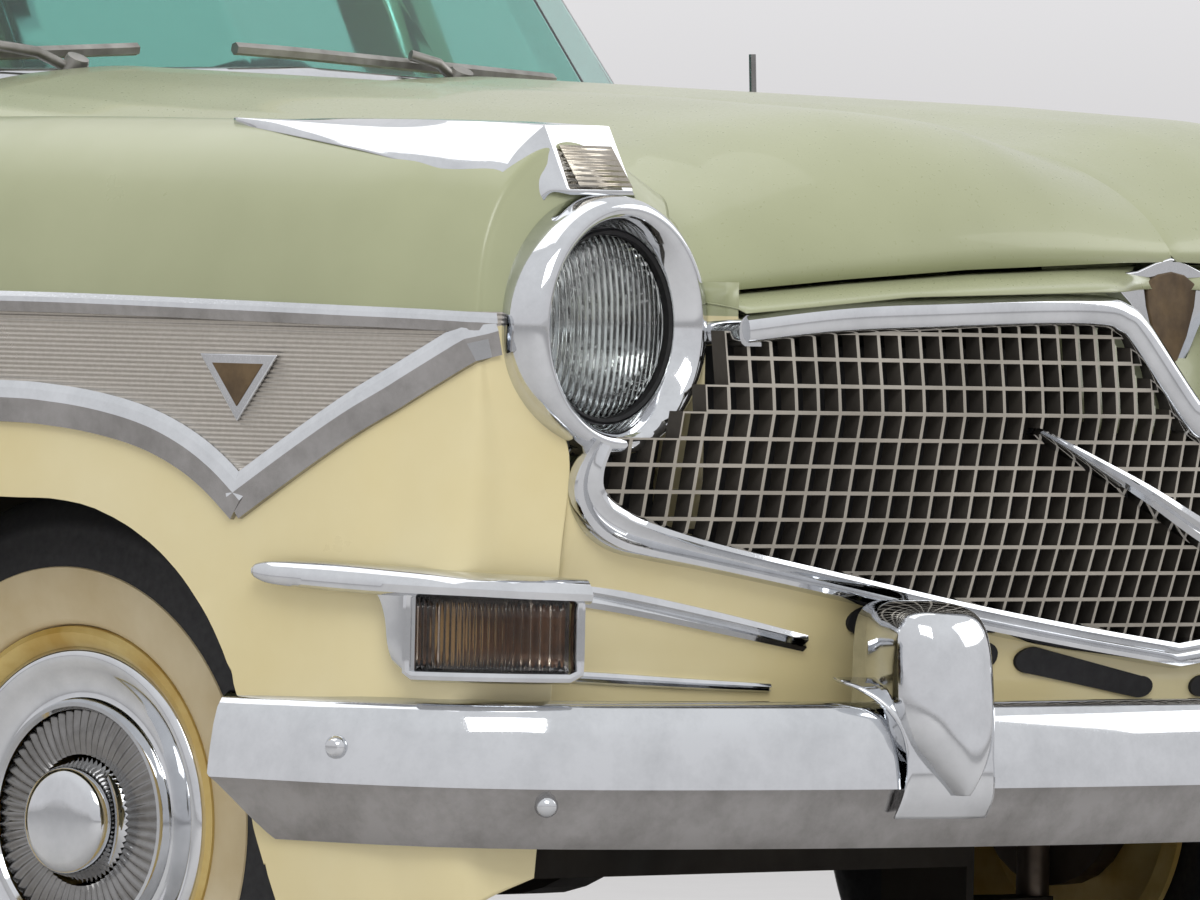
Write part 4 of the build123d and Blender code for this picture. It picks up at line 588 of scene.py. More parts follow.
def cut_arch(bm, axle):
    """Open the wheel arch in a side skin and roll its edge inward."""
    def inside(co):
        return abs(co.y / MM - axle) < arch_half(co.z / MM, co.y / MM < axle)
    gone = [face for face in bm.faces if all(inside(vert.co) for vert in face.verts)]
    bmesh.ops.delete(bm, geom=gone, context="FACES")
    middle = Vector((0, axle, HUB_Z)) * MM
    for vert in bm.verts:
        away = vert.co - middle
        away.x = 0
        away.normalize()
        while inside(vert.co):
            vert.co += away * NUDGE * MM
    rim = []
    for edge in bm.edges:
        ends = [vert.co / MM for vert in edge.verts]
        near = [abs(abs(p.y - axle) - arch_half(p.z, p.y < axle)) < 12
                or p.z > 600 and abs(p.y - axle) < 330 for p in ends]
        if edge.is_boundary and all(near) and min(p.z for p in ends) > SILL_Z:
            rim.append(edge)
    for vert in raised(bmesh.ops.extrude_edge_only(bm, edges=rim)):
        vert.co.x -= ARCH_LIP * MM
    return bm


def side_finder(bm):
    """Function that finds a point of a shape's left side and its outward way."""
    tree = BVHTree.FromBMesh(bm)

    def find(y, z):
        hit, normal, _, _ = tree.ray_cast(Vector((1500, y, z)) * MM, -LEFT)
        return hit / MM, normal if normal.x > 0 else -normal
    return find


whole_wing = skin(wing, 150, 110)
whole_wing.normal_update()
on_wing = side_finder(whole_wing)
piece("front_wing_skins", both_sides(cut_arch(whole_wing, FRONT_AXLE)), PAINT,
      replaces=("front_fenders",), wall=PANEL_WALL, outward=(0, 0, 1), crease=60)
APRON = ((642, 748), (642, 968), (652, 968), (652, 738), (500, 738), (500, 480),
         (488, 480), (488, 748))
apron = prism(APRON, lambda a, b, c: (a, c, b), -2150, -1232)
piece("front_wheel_aprons", both_sides(apron), UNDERBODY, edge=3)

# Bonnet. Rows from the scuttle forward: Y, then Z at each X column.
HOOD_X = (0, 70, 150, 290, 430, 540, 600, 636)
HOOD_ROWS = (
    (-1262, (1082, 1084, 1089, 1094, 1083, 1066, 1052, 1030)),
    (-1600, (1062, 1066, 1076, 1082, 1068, 1046, 1026, 1004)),
    (-2000, (1044, 1050, 1062, 1068, 1052, 1028, 1008, 986)),
    (-2300, (1018, 1030, 1046, 1052, 1036, 1008, 988, 966)),
    (-2460, (1002, 1016, 1034, 1042, 1026, 998, 976, 955)),
)
HOOD_REAR, HOOD_HALF = HOOD_ROWS[0][0], HOOD_X[-1]
HOOD_SHARES = [(x, i / (len(HOOD_X) - 1)) for i, x in enumerate(HOOD_X)]
LIP_ROWS = ((0, 911), (79, 909), (297, 899), (456, 887), (627, 871), (636, 870))
LIP_BACK = 75              # how far the lip lies behind the front's curve
NOSE_RUN = 240             # the last stretch, where the bonnet turns down to its lip
CROWDING = 0.6             # draws the grid's rows together towards the lip
BRACE_DROP = 22            # how far the inner frame lies under the skin


def hood(u, v):
    """Left half of the bonnet: u outward, v from the scuttle to the lip."""
    x = HOOD_HALF * u
    lip_y = DRUM_Y - sqrt((DRUM_R - LIP_BACK) ** 2 - x * x)
    y = part_way(HOOD_REAR, lip_y, v ** CROWDING)
    share = between(HOOD_SHARES, x)
    heights = [(row_y, smooth([(z,) for z in zs], share)[0]) for row_y, zs in HOOD_ROWS]
    top, lip_z = between(sorted(heights), y), between(LIP_ROWS, x)
    if y - lip_y < NOSE_RUN:
        fall = 1 - (y - lip_y) / NOSE_RUN
        top = lip_z + (top - lip_z) * (1 - fall ** 2.3) ** 0.62
    return x, y, lip_z if v > 0.999 else top


piece("bonnet_skin", both_sides(skin(hood, 64, 150)), GREEN_PAINT, "hood",
      replaces=("hood",), wall=PANEL_WALL, outward=(0, 0, 1), crease=50)
LIP_Y = hood(0, 1)[1]


def brace(x0, x1, y0, y1):
    """Strip of the bonnet's inner frame, a little under its skin."""
    def strip(u, v):
        x, y = part_way(x0, x1, u), part_way(y0, y1, v)
        run = ((y - HOOD_REAR) / (LIP_Y - HOOD_REAR)) ** (1 / CROWDING)
        return x, y, hood(abs(x) / HOOD_HALF, run)[2] - BRACE_DROP
    return skin(strip, 8, 24)


braces = [brace(-50, 50, -2250, -1300), brace(280, 350, -2200, -1300),
          brace(-350, -280, -2200, -1300)]
piece("bonnet_braces", join(*braces), GREEN_PAINT, "hood", wall=12, outward=(0, 0, 1))


def gutter(u, v):
    """Channel between the left wing's inner edge and the bonnet."""
    x, y, z = wing(v, 1)
    return 626 + (x - 622) * u, y, z - 9 - 8 * (1 - u) - 26 * v ** 4


piece("bonnet_gutters", both_sides(skin(gutter, 4, 60)), GREEN_PAINT,
      outward=(0, 0, 1), wall=1)

# Headlamps. Rows are radius and distance forward from the rim's middle.
rim = lathe(((122, -36), (126, -34), (127, -28), (127, 2), (125, 9), (121, 15),
             (115, 18), (110, 17), (105, 12), (100, 4), (96, -3), (93, -9), (91, -22),
             (118, -34)), LAMP, FORWARD, 128)
piece("headlamp_rims", both_sides(rim), CHROME, replaces=("front_lamps",), crease=60)
seal = lathe(((96, -12), (93, -6), (90, -8), (89, -18), (95, -18)), LAMP, FORWARD)
piece("headlamp_seals", both_sides(seal), BLACK)
bowl = lathe(((88, -16), (80, -34), (60, -52), (34, -62), (0, -66)), LAMP, FORWARD)
piece("headlamp_reflectors", both_sides(bowl), CHROME, wall=1, crease=80)
lens = lathe(((0, 4), (30, 3), (58, -1), (78, -7), (89, -14), (89, -18), (78, -11),
              (58, -5), (30, -1), (0, 0)), LAMP, FORWARD)
piece("headlamp_glasses", both_sides(lens), FLUTED, replaces=("lamp_lenses",))

# Egg-crate grille behind its moulding
GRILLE_TOP = (             # X, Z of the opening's upper edge, then of its lower edge
    (0, 727), (61, 738), (140, 830), (182, 844), (262, 844), (527, 833), (650, 818),
    (692, 790), (790, 712),
)
GRILLE_FOOT = ((0, 524), (322, 569), (693, 637), (757, 650), (787, 672), (790, 712))
LEAN = ((330, 85), (515, 62), (640, 22), (760, 0), (905, 18))
GRILLE_PITCH, GRILLE_BAR, GRILLE_DEPTH, GRILLE_BACK = 26.3, 5.4, 18, -4
CELLS_ACROSS, CELLS_UP, GRILLE_MIDDLE_Z = 60, 13, 690
GRILLE_HALF, TUCKED, LAMP_SPACE = 800, 14, 118     # its ends, its edge, the lamps'


def on_front(x, z, proud=0):
    """Point of the curved front at X and Z, proud mm ahead of it."""
    radius = DRUM_R - between(LEAN, z) + proud
    return x, DRUM_Y - sqrt(radius ** 2 - x * x), z


def crate_plane(u, v):
    """Face of the egg crate before its cells are opened."""
    return on_front((u - 0.5) * CELLS_ACROSS * GRILLE_PITCH,
                    GRILLE_MIDDLE_Z + (v - 0.5) * CELLS_UP * GRILLE_PITCH, GRILLE_BACK)


lattice = skin(crate_plane, CELLS_ACROSS, CELLS_UP)
outside = []
for face in lattice.faces:
    x, _, z = face.calc_center_median() / MM
    low, high = between(GRILLE_FOOT, abs(x)), between(GRILLE_TOP, abs(x))
    near_lamp = sqrt((abs(x) - LAMP.x) ** 2 + (z - LAMP.z) ** 2) < LAMP_SPACE
    if not low - TUCKED < z < high + TUCKED or abs(x) > GRILLE_HALF or near_lamp:
        outside.append(face)
bmesh.ops.delete(lattice, geom=outside, context="FACES")
bmesh.ops.inset_individual(lattice, faces=lattice.faces[:],
                           thickness=GRILLE_BAR / 2 * MM)
opening = (GRILLE_PITCH - 2 * GRILLE_BAR) * MM
holes = [face for face in lattice.faces if face.calc_area() > opening ** 2]
bmesh.ops.delete(lattice, geom=holes, context="FACES")
deep = raised(bmesh.ops.extrude_face_region(lattice, geom=lattice.faces[:]))
bmesh.ops.translate(lattice, verts=deep, vec=(0, GRILLE_DEPTH * MM, 0))
crate = piece("egg_crate_grille", lattice, GRILLE_METAL, replaces=("grille",), crease=30)
# Walls of the cells that face sideways take the painted shade.
crate.data.materials.append(GRILLE_CELL_SHADE)
for face in crate.data.polygons:
    if abs(face.normal.y) < 0.5:
        face.material_index = 1
# Black sheet behind the grille: painted shade seen through its cells.
shade = skin(lambda u, v: on_front((u - 0.5) * 1500, 560 + v * 260, -95), 20, 4)
piece("grille_shade", shade, BLACK, outward=FORWARD)

FRAME_LINE = (             # X, Z, width of the moulding
    (0, 742, 32), (30, 746, 32), (60, 764, 32), (125, 838, 32), (150, 854, 32),
    (180, 860, 32), (262, 860, 32), (400, 855, 32), (527, 849, 32), (640, 836, 30),
)
BLADE_LINE = (
    (800, 724, 26), (808, 700, 34), (806, 676, 40), (790, 655, 44), (764, 640, 44),
    (725, 629, 38), (640, 612, 30), (480, 584, 28), (322, 557, 28), (160, 534, 28),
    (0, 515, 28),
)
MOULDING_WIDTH = 32        # of the two sections below
MOULDING = ((-20, -16), (4, -16), (9, -13), (12, -8), (13, 0), (12, 8), (8, 13),
            (3, 16), (-20, 16))
RIDGED = ((-20, -16), (2, -16), (8, -13), (10, -8), (5, -3), (4, 0), (6, 3), (12, 8),
          (11, 13), (4, 16), (-20, 16))


def from_axis(points):
    """Outward ways of points on the curved front."""
    return [(point - Vector((0, DRUM_Y, point.z))).normalized() for point in points]


def front_line(rows):
    """Stations along a line of the curved front, from the left to the right."""
    line = along(rows, 10)
    if rows[0][0] == 0:
        line.reverse()
    line += [(-x, z, width) for x, z, width in line[-2::-1]]
    points = [Vector(on_front(x, z)) for x, z, _ in line]
    return [(point, out, side * width / MOULDING_WIDTH)
            for (point, out, side), (_, _, width)
            in zip(rail(points, from_axis(points)), line)]


bars = join(sweep(front_line(FRAME_LINE), MOULDING), sweep(front_line(BLADE_LINE), RIDGED))
piece("grille_moulding", bars, CHROME, replaces=("grille_frame",), crease=40)

# Bumpers
BUMPER_SECTION = (         # out, Z
    (-48, 470), (-40, 474), (-30, 473), (-20, 467), (-13, 457), (-8, 441), (-4, 420),
    (-1, 400), (0, 389), (-4, 384), (-11, 369), (-19, 350), (-27, 336), (-32, 330),
    (-38, 332), (-34, 352), (-26, 372), (-16, 390), (-20, 420), (-26, 446), (-38, 462),
    (-48, 464),
)
FRONT_PLAN = (             # X, Y of the face from the middle to the end
    (0, -2578), (200, -2572), (420, -2551), (620, -2512), (780, -2462), (880, -2412),
    (945, -2340), (974, -2250), (981, -2150), (981, -2060),
)
REAR_PLAN = (
    (0, 2578), (200, 2574), (420, 2561), (620, 2538), (780, 2510), (880, 2478),
    (945, 2415), (970, 2330), (973, 2230), (973, 2122),
)
REAR_LIFT = 15             # how much higher the rear bumper sits
REAR_GUARD_MOVE = Vector((0, 6, 12))
GUARD_X, GUARD_BACK, GUARD_DEPTH = 441, -2476, 104
GUARD_ROWS = (             # Z, half width, Y of the front face
    (570, 6, -2508), (569, 26, -2526), (564, 43, -2546), (553, 53, -2562),
    (530, 57, -2572), (490, 58, -2578), (455, 57, -2581), (430, 48, -2583),
    (408, 30, -2583), (393, 13, -2580), (385, 3, -2576),
)
SADDLE_ROWS = (            # ahead of the bumper's face, Z, half width
    (-60, 494, 84), (-46, 491, 88), (-26, 484, 82), (-9, 468, 68), (2, 446, 58),
    (6, 420, 54), (7, 398, 55), (3, 378, 57), (-6, 361, 57),
)


def plan_line(plan, steps, height):
    """Stations round the car along a plan's left half and its mirror, at height(x)."""
    points = [Vector((x, y, height(abs(x)))) for x, y in mirrored(along(plan, steps))]
    stations = []
    for point, run in zip(points, headings(points)):
        out = Vector((run.y, -run.x, 0)).normalized()
        stations.append((point, out if out.dot(point) > 0 else -out, UP))
    return stations


def guard(u, v):
    """One bumper guard: u round its front from side to side, v from the dome down."""
    z, half, front = smooth(GUARD_ROWS, v)
    turn = (u - 0.5) * pi
    depth = min(GUARD_BACK - front, GUARD_DEPTH)
    bow = abs(sin(turn)) ** 0.72 * (1 if turn > 0 else -1)
    return GUARD_X + half * bow, front + depth - depth * abs(cos(turn)) ** 0.42, z


def saddle(u, v):
    """Plate that spreads the guard over the bumper's top and face."""
    ahead, z, half = smooth(SADDLE_ROWS, v)
    x = GUARD_X + (u - 0.5) * 2 * half
    return x, between(FRONT_PLAN, x) - ahead - 5 * cos((u - 0.5) * pi), z


def cut_end(bm, y, z, slope):
    """Cut the front bumper's ends back below their crease."""
    geom = bm.verts[:] + bm.edges[:] + bm.faces[:]
    bmesh.ops.bisect_plane(bm, geom=geom, plane_co=Vector((0, y, z)) * MM,
                           plane_no=(0, 1, -slope), clear_outer=True)
    ends = [edge for edge in bm.edges if edge.is_boundary]
    bmesh.ops.holes_fill(bm, edges=ends, sides=0)


piece("front_bumper_saddles", both_sides(skin(saddle, 24, 30)), CHROME, outward=FORWARD,
      crease=70, wall=3)
bolts = [lathe(((0, 7), (7, 6), (11, 2), (12, -3), (12, -8)), place, axis, 20)
         for place, axis in (((975, -2225, 424), (1, -0.1, 0)),
                             ((873, -2412, 372), (0.55, -0.8, -0.2)))]
piece("front_bumper_bolts", both_sides(join(*bolts)), CHROME)
front_bar = sweep(plan_line(FRONT_PLAN, 8, lambda x: 0), BUMPER_SECTION)
cut_end(front_bar, -2060, 392, 1.03)
rear_bar = sweep(plan_line(REAR_PLAN, 8, lambda x: REAR_LIFT), BUMPER_SECTION)
front_guards, rear_guards = skin(guard, 36, 44), skin(guard, 36, 44)
bmesh.ops.rotate(rear_guards, verts=rear_guards.verts, cent=(0, 0, 0),
                 matrix=Matrix.Rotation(pi, 3, "Z"))
bmesh.ops.translate(rear_guards, verts=rear_guards.verts, vec=REAR_GUARD_MOVE * MM)
for end, bar, guards, way in (("front", front_bar, front_guards, FORWARD),
                              ("rear", rear_bar, rear_guards, BACKWARD)):
    paint_reflection_below(piece(f"{end}_bumper_bar", bar, CHROME, replaces=(f"{end}_bumper",),
                     crease=34), -0.25)
    piece(f"{end}_bumper_guards", both_sides(guards), CHROME, outward=way, crease=70,
          wall=3)
stays = [skin(lambda u, v, x=x, y=y: (x + (u - 0.5) * 60, y, 335 + v * 80), 2, 2)
         for x in (435, -435) for y in (-2500, 2500)]
piece("bumper_stays", join(*stays), UNDERBODY, wall=20)

# Side mouldings, from the wing's tip back to the door line: Y, Z
TOP_LINE = ((-2356, 838), (-2300, 840), (-2150, 843), (-1900, 847), (-1740, BELT_Z),
            (-1400, BELT_Z), (-1008, BELT_Z))
FOOT_LINE = ((-2356, 832), (-2270, 783), (-2170, 724), (-2068, 663))
FOOT_ARC = ((-2086, 660), (-2050, 688), (-2010, 711), (-1960, 730), (-1900, 743),
            (-1830, 751), (-1740, FOOT_Z), (-1400, FOOT_Z), (-1008, FOOT_Z))
TOP_SECTION = ((-4, -11), (5, -10), (8, -3), (9, 0), (8, 5), (5, 10), (-4, 10))
FOOT_SECTION = ((-4, -26), (7, -25), (10, -6), (11, -1), (8, 9), (4, 16), (-4, 16))
WIDEST = 981               # half of the body's greatest width, less 1 mm


def within(bm):
    """Keep a strip inside the body's greatest width."""
    for vert in bm.verts:
        vert.co.x = min(vert.co.x, WIDEST * MM)
    return bm


def side_line(rows, surface=on_wing, steps=8):
    """Stations along a line of the body's left side."""
    points, outs = zip(*(surface(y, z) for y, z in along(rows, steps)))
    return upright(rail(points, outs))


strips = join(sweep(side_line(TOP_LINE), TOP_SECTION),
              sweep(side_line(FOOT_LINE), FOOT_SECTION),
              sweep(side_line(FOOT_ARC), FOOT_SECTION))
paint_reflection_below(piece("wing_mouldings", both_sides(within(strips)), CHROME, crease=11))

# Wing ornaments over the headlamps. Stations run forward; each row is the outer
# foot, the outer ridge, the inner ridge and the inner foot.
ORNAMENT_ROWS = (
    ((855, -1960, 1027), (846, -1962, 1031), (841, -1962, 1031), (837, -1960, 1027)),
    ((877, -2065, 1016), (843, -2062, 1034), (826, -2062, 1035), (814, -2062, 1025)),
    ((892, -2190, 999), (838, -2182, 1035), (792, -2182, 1036), (768, -2182, 1015)),
    ((889, -2277, 980), (828, -2272, 1034), (754, -2272, 1035), (728, -2272, 1006)),
    ((884, -2332, 962), (816, -2338, 1031), (723, -2338, 1032), (698, -2336, 980)),
)
ORNAMENT_FOOT = ((836, -2358, 958), (808, -2366, 964), (715, -2366, 965),
                 (696, -2352, 962))
ORNAMENT_BULGE = 8
EDGE_SHARES = (            # which side of a row, and how far across it
    (0, 0), (0, 0.25), (0, 0.55), (0, 0.93), (1, 0.05), (1, 0.5), (1, 0.95),
    (2, 0.07), (2, 0.5), (2, 1),
)


def ridged(row, v):
    """Point across an ornament's section, tight over its two ridges."""
    points = []
    for i, share in EDGE_SHARES:
        x, y, z = (part_way(a, b, share) for a, b in zip(row[i], row[i + 1]))
        bulge = ORNAMENT_BULGE * sin(pi * share) if i == 0 else 0
        points.append((x + bulge * 0.75, y, z + bulge * 0.66))
    return smooth(points, v)


def ornament(u, v):
    return smooth([ridged(row, v) for row in ORNAMENT_ROWS], u)


def ornament_front(u, v):
    top, foot = ridged(ORNAMENT_ROWS[-1], v), ridged(ORNAMENT_FOOT, v)
    return tuple(part_way(a, b, u) for a, b in zip(top, foot))


def ornament_inset(u, v):
    """Ribbed field on the ornament's front."""
    return 806 - 8 * v - u * 76, -2346 - 22 * v - 2, 1012 - 40 * v


ornaments = join(skin(ornament, 48, 40), skin(ornament_front, 10, 40))
piece("wing_ornaments", both_sides(ornaments), CHROME, outward=UP, crease=32, wall=1)
piece("ornament_insets", both_sides(skin(ornament_inset, 2, 2)), RIBBED_CHROME,
      outward=FORWARD, wall=0.6)

# Parking lamps: a spear and a framed lens that wrap the wing's lower corner
PARK_PLAN = (              # X, Y of the outer face, from the tip forward
    (974, -2108), (973, -2150), (969, -2200), (960, -2250), (946, -2298), (924, -2342),
    (893, -2378), (858, -2401), (826, -2416),
)
SPEAR_ROWS = (             # Y, Z of the middle, half height, how far proud
    (-2108, 592, 3, 0), (-2114, 592, 7, 3), (-2135, 591, 11, 6), (-2180, 590, 13, 9),
    (-2240, 588, 14, 11), (-2300, 586, 14, 13), (-2350, 584, 13, 14),
    (-2390, 582, 13, 14), (-2416, 580, 12, 13),
)
SPEAR_SECTION = ((-1, -1), (0.5, -1), (0.95, -0.75), (1.1, -0.2), (0.8, 0.3),
                 (0.2, 0.85), (-0.3, 1), (-1, 1))
LENS_Y, LENS_Z = (-2300, -2408), (502, 572)
LENS_FRAME_SECTION = ((-12, -6), (3, -6), (8, -3), (9, 1), (7, 5), (2, 7), (-12, 7))
HOUSING_EDGE = (           # Z, Y
    (588, -2238), (574, -2258), (552, -2267), (524, -2271), (506, -2279), (493, -2296),
)


def park(y, z, proud=0):
    """Point ahead of the wrapped plan at Y, and its outward way."""
    low, high = 0.0, 1.0
    for _ in range(24):
        middle = (low + high) / 2
        low, high = (middle, high) if smooth(PARK_PLAN, middle)[1] > y else (low, middle)
    a, b = smooth(PARK_PLAN, max(low - 0.02, 0)), smooth(PARK_PLAN, min(low + 0.02, 1))
    out = Vector((a[1] - b[1], b[0] - a[0], 0)).normalized()
    x, y = smooth(PARK_PLAN, low)
    return Vector((x, y, z)) + out * proud, out


def spear_line():
    stations = []
    for y, z, half, proud in along(SPEAR_ROWS, 8):
        point, out = park(y, z)
        stations.append((point, out * max(proud, 1), UP * half))
    return stations


def lens_frame_line():
    """Closed line round the parking lens."""
    across = [part_way(*LENS_Y, i / 16) for i in range(17)]
    rows = [(y, LENS_Z[0] - 5) for y in across]
    rows += [(LENS_Y[1] - 4, LENS_Z[0] + 12 * i) for i in range(7)]
    rows += [(y, LENS_Z[1] + 5) for y in reversed(across)]
    rows += [(LENS_Y[0] + 5, LENS_Z[1] - 12 * i) for i in range(7)]
    points, outs = zip(*(park(y, z) for y, z in rows))
    return rail(points, outs, closed=True)


def housing(u, v):
    """Plate that runs down from the spear to the lens frame."""
    z, y = smooth(HOUSING_EDGE, v)
    y = part_way(y, LENS_Y[0] - 2, u)
    return park(y, z, -3 + 9 * sin(min(u * 1.4, 1) * pi / 2))[0]


def in_lens(depth):
    """Surface behind or before the lens's opening: depth(u, v) is how far proud."""
    return lambda u, v: park(part_way(*LENS_Y, u), part_way(*LENS_Z, v), depth(u, v))[0]


frames = join(sweep(spear_line(), SPEAR_SECTION),
              sweep(lens_frame_line(), LENS_FRAME_SECTION, closed=True), skin(housing, 14, 24))
piece("parking_lamp_frames", both_sides(frames), CHROME, crease=40)
piece("parking_glasses", both_sides(skin(in_lens(lambda u, v: 3), 24, 4)), PARK_GLASS,
      outward=FORWARD, wall=2)
cup = skin(in_lens(lambda u, v: -6 - 20 * sin(u * pi) * sin(v * pi)), 24, 10)
piece("parking_reflectors", both_sides(cup), AMBER, outward=FORWARD)
bulb = lathe(((0, 24), (9, 20), (13, 10), (12, 0), (9, -8), (9, -20)),
             (868, -2366, 536), (0.6, -0.8, 0), 24)
piece("parking_bulbs", both_sides(bulb), LAMP_GLASS)

# Strips beside the parking lamps and spears across the grille:
# X, Z of the middle, half height, how far proud
STRIP_SECTION = ((-14, -1), (3, -1), (8, -0.55), (5, -0.1), (9, 0.25), (7, 0.8), (2, 1),
                 (-14, 1))
UPPER_STRIP = ((826, 582, 13, -6), (740, 570, 12, -4), (620, 549, 11, -3),
               (513, 529, 9, -3))
LOWER_STRIP = ((826, 497, 7, -6), (740, 493, 7, -4), (640, 488, 6, -3),
               (548, 484, 5, -3))
GRILLE_SPEAR = ((0, 634, 13, 12), (40, 648, 12, 12), (120, 681, 9, 10),
                (200, 711, 6, 8), (277, 740, 3.5, 4))


def front_strip(rows):
    """Strip along a line of the front, on the car's left."""
    line = along(rows, 12)
    points = [Vector(on_front(x, z, proud)) for x, z, _, proud in line]
    stations = upright(rail(points, from_axis(points)))
    return sweep([(point, out, up * row[2])
                  for (point, out, up), row in zip(stations, line)], STRIP_SECTION)


piece("valance_strips", both_sides(join(front_strip(UPPER_STRIP),
                                        front_strip(LOWER_STRIP))), CHROME)


# Nose: the shelf over the grille, the panel in its dip and the cheeks at its ends
def shelf(u, v):
    x = (u - 0.5) * 1300
    edge = DRUM_Y - sqrt((DRUM_R + 6) ** 2 - x * x)
    edge += 84 * (1 - min(abs(x) / 190, 1) ** 2) ** 2
    lip = DRUM_Y - sqrt((DRUM_R - 92) ** 2 - x * x)
    low = between(((0, 884), (200, 880), (450, 872), (650, 853)), abs(x))
    high = between(LIP_ROWS, abs(x)) - 4
    return x, part_way(edge, lip, v), part_way(low, high, v ** 0.55)


NOSE_Y, NOSE_BOW = -2446, 5400     # the badge's plane, and how flatly it bows back


def dip(u, v):
    """Panel under the bonnet lip, set back behind the grille's middle."""
    x, drop = (u - 0.5) * 330, v * 170
    return x, NOSE_Y + 18 + x * x / NOSE_BOW - 78 * (drop / 190) ** 1.6, 908 - drop


def cheek(u, v):
    """Panel between a headlamp and the end of the grille, set back beside the bars."""
    z = part_way(640, 882, v)
    return 648, part_way(-2446 if z > 838 else -2404, -2340, u), z


piece("nose_shelf", join(skin(shelf, 80, 10), skin(dip, 24, 20)), GREEN_PAINT,
      replaces=("nose_panel",), outward=(0, -1, 1), wall=PANEL_WALL, crease=50)
piece("nose_cheeks", both_sides(skin(cheek, 6, 12)), PAINT, outward=(0, 0, 0), wall=1)
returns = sweep([(Vector((646, y, z)), LEFT, UP * 0.94)
                 for y, z in ((-2452, 835), (-2430, 834), (-2405, 832), (-2375, 830))],
                [(out - 6, up) for out, up in MOULDING])
piece("grille_moulding_returns", both_sides(returns), CHROME, crease=40)

# Bare winged badge in the middle of the nose with its spears, and bare V badges on
# the inserts
BADGE_OUTLINE = ((0, 915), (24, 910), (52, 901), (80, 898), (130, 897), (196, 896),
                 (196, 893), (130, 889), (84, 884), (62, 868), (45, 842), (27, 812),
                 (12, 794), (0, 789))
SHIELD_OUTLINE = ((0, 901), (20, 898), (40, 888), (37, 866), (26, 836), (12, 812),
                  (0, 802))
V_OUTER = ((-2126, 802), (-2022, 802), (-2074, 736))
V_INNER = ((-2108, 793), (-2040, 793), (-2074, 751))
V_FACE_X = on_wing(-2074, 770)[0].x


def whole(rows):
    """A left-hand outline with its mirror image."""
    return list(rows) + [(-x, z) for x, z in reversed(rows) if x > 0]


def on_nose(a, b, c):
    return a, NOSE_Y + a * a / NOSE_BOW - c, b


def on_side(a, b, c):
    return V_FACE_X + c, a, b


piece("nose_badge", prism(whole(BADGE_OUTLINE), on_nose, -14, 9), CHROME, edge=4)
piece("nose_shield", prism(whole(SHIELD_OUTLINE), on_nose, 2, 10.5), BROWN, edge=1.5)
piece("grille_spears", both_sides(front_strip(GRILLE_SPEAR)), CHROME)
piece("wing_v_badges", both_sides(prism(V_OUTER, on_side, 1, 5)), CHROME, edge=1.2)
piece("wing_v_fields", both_sides(prism(V_INNER, on_side, 3, 6)), BROWN, edge=0.5)

# Windscreen base, wipers and aerial
GLASS_BASE = ((0, -1262), (300, -1222), (560, -1178), (720, -1108), (800, -980),
              (815, -860))
COWL_TOP = ((0, 1084), (430, 1072), (860, 1014))
REVEAL_SECTION = ((-16, -4), (6, -6), (12, 2), (8, 10), (-2, 16), (-16, 18))
WIPERS = (                 # pivot X, blade start and end as X, Z
    (-330, (-620, 1092), (-215, 1113)),
    (255, (-80, 1117), (470, 1096)),
)
reveal = sweep(plan_line(GLASS_BASE, 12, lambda x: between(COWL_TOP, x) - 2),
               REVEAL_SECTION)
piece("windscreen_reveal", reveal, CHROME)


def glass_y(x, z):
    """Front of the windscreen at X and Z."""
    return between(GLASS_BASE, abs(x)) + (z - 1060) * 0.73


wipers = []
for pivot, start, end in WIPERS:
    blade = []
    for i in range(11):
        x, z = (part_way(a, b, i / 10) for a, b in zip(start, end))
        blade.append(Vector((x, glass_y(x, z) - 12, z)))
    middle = blade[5] + Vector((0, -8, 10))
    base = Vector((pivot, glass_y(pivot, 1080) - 24, 1088))
    elbow = base + (middle - base) * 0.5 + Vector((0, -6, 6))
    wipers += [rod(blade, 7, 6), rod([base, elbow, middle], 6),
               lathe(((0, 16), (12, 14), (16, 0), (16, -14)), base, (0, -0.5, 1), 20)]
piece("wipers", join(*wipers), WIPER_METAL, crease=50)
aerial = rod([Vector((700, -1273, 1030)), Vector((700, -1268, 1130))], 4)
foot = lathe(((0, 26), (8, 22), (14, 8), (20, 0), (20, -6)), (700, -1273, 1020), UP)
piece("aerial", join(aerial, foot), DARK_CHROME, crease=50)

# Valance under the grille, with black plates painted as the shade of its openings
SLOTS = (                  # X, Z of the upper edge and height, at each end
    ((-470, 566, 30), (-262, 530, 30)),
    ((-236, 524, 27), (-30, 494, 22)),
)
VALANCE_FOOT, VALANCE_WIDTH = 345, 1650
VALANCE_TOP = ((0, 520), (322, 560), (640, 620), (760, 650), (826, 700))


def slot(*ends):
    """Black plate with two round ends, on the car's right: painted shade where the valance has
    an opening.
    """
    outline = []
    for (x, z, height), way in zip(ends, (1, -1)):
        for i in range(13):
            turn = way * pi / 2 + pi * i / 12
            outline.append((x + height * 0.9 * (way + cos(turn)),
                            z + height / 2 * (sin(turn) - 1)))
    return prism(outline, on_front, -3, 3.6)


def valance(u, v):
    """Panel under the grille, from the wings' ends down behind the bumper."""
    x = (u - 0.5) * VALANCE_WIDTH
    return on_front(x, part_way(VALANCE_FOOT, between(VALANCE_TOP, abs(x)), v))


piece("valance_slot_shades", both_sides(join(*(slot(*ends) for ends in SLOTS))), BLACK)
piece("valance_skin", skin(valance, 90, 24), CREAM_PAINT, replaces=("valance",),
      wall=PANEL_WALL, outward=FORWARD)

# Mouldings and handles on the doors and rear quarters
PANELS = (                 # node on the left, body, front and rear end of its strips
    ("front_door_left", "front_door_left", -992, -8),
    ("rear_door_left", "rear_door_left", 14, 940),
    ("rear_quarters", BODY, 966, 2440),
)
HANDLE_Z = 958
HANDLE_ENDS = {"front_door_left": (-205, -60), "rear_door_left": (735, 880)}


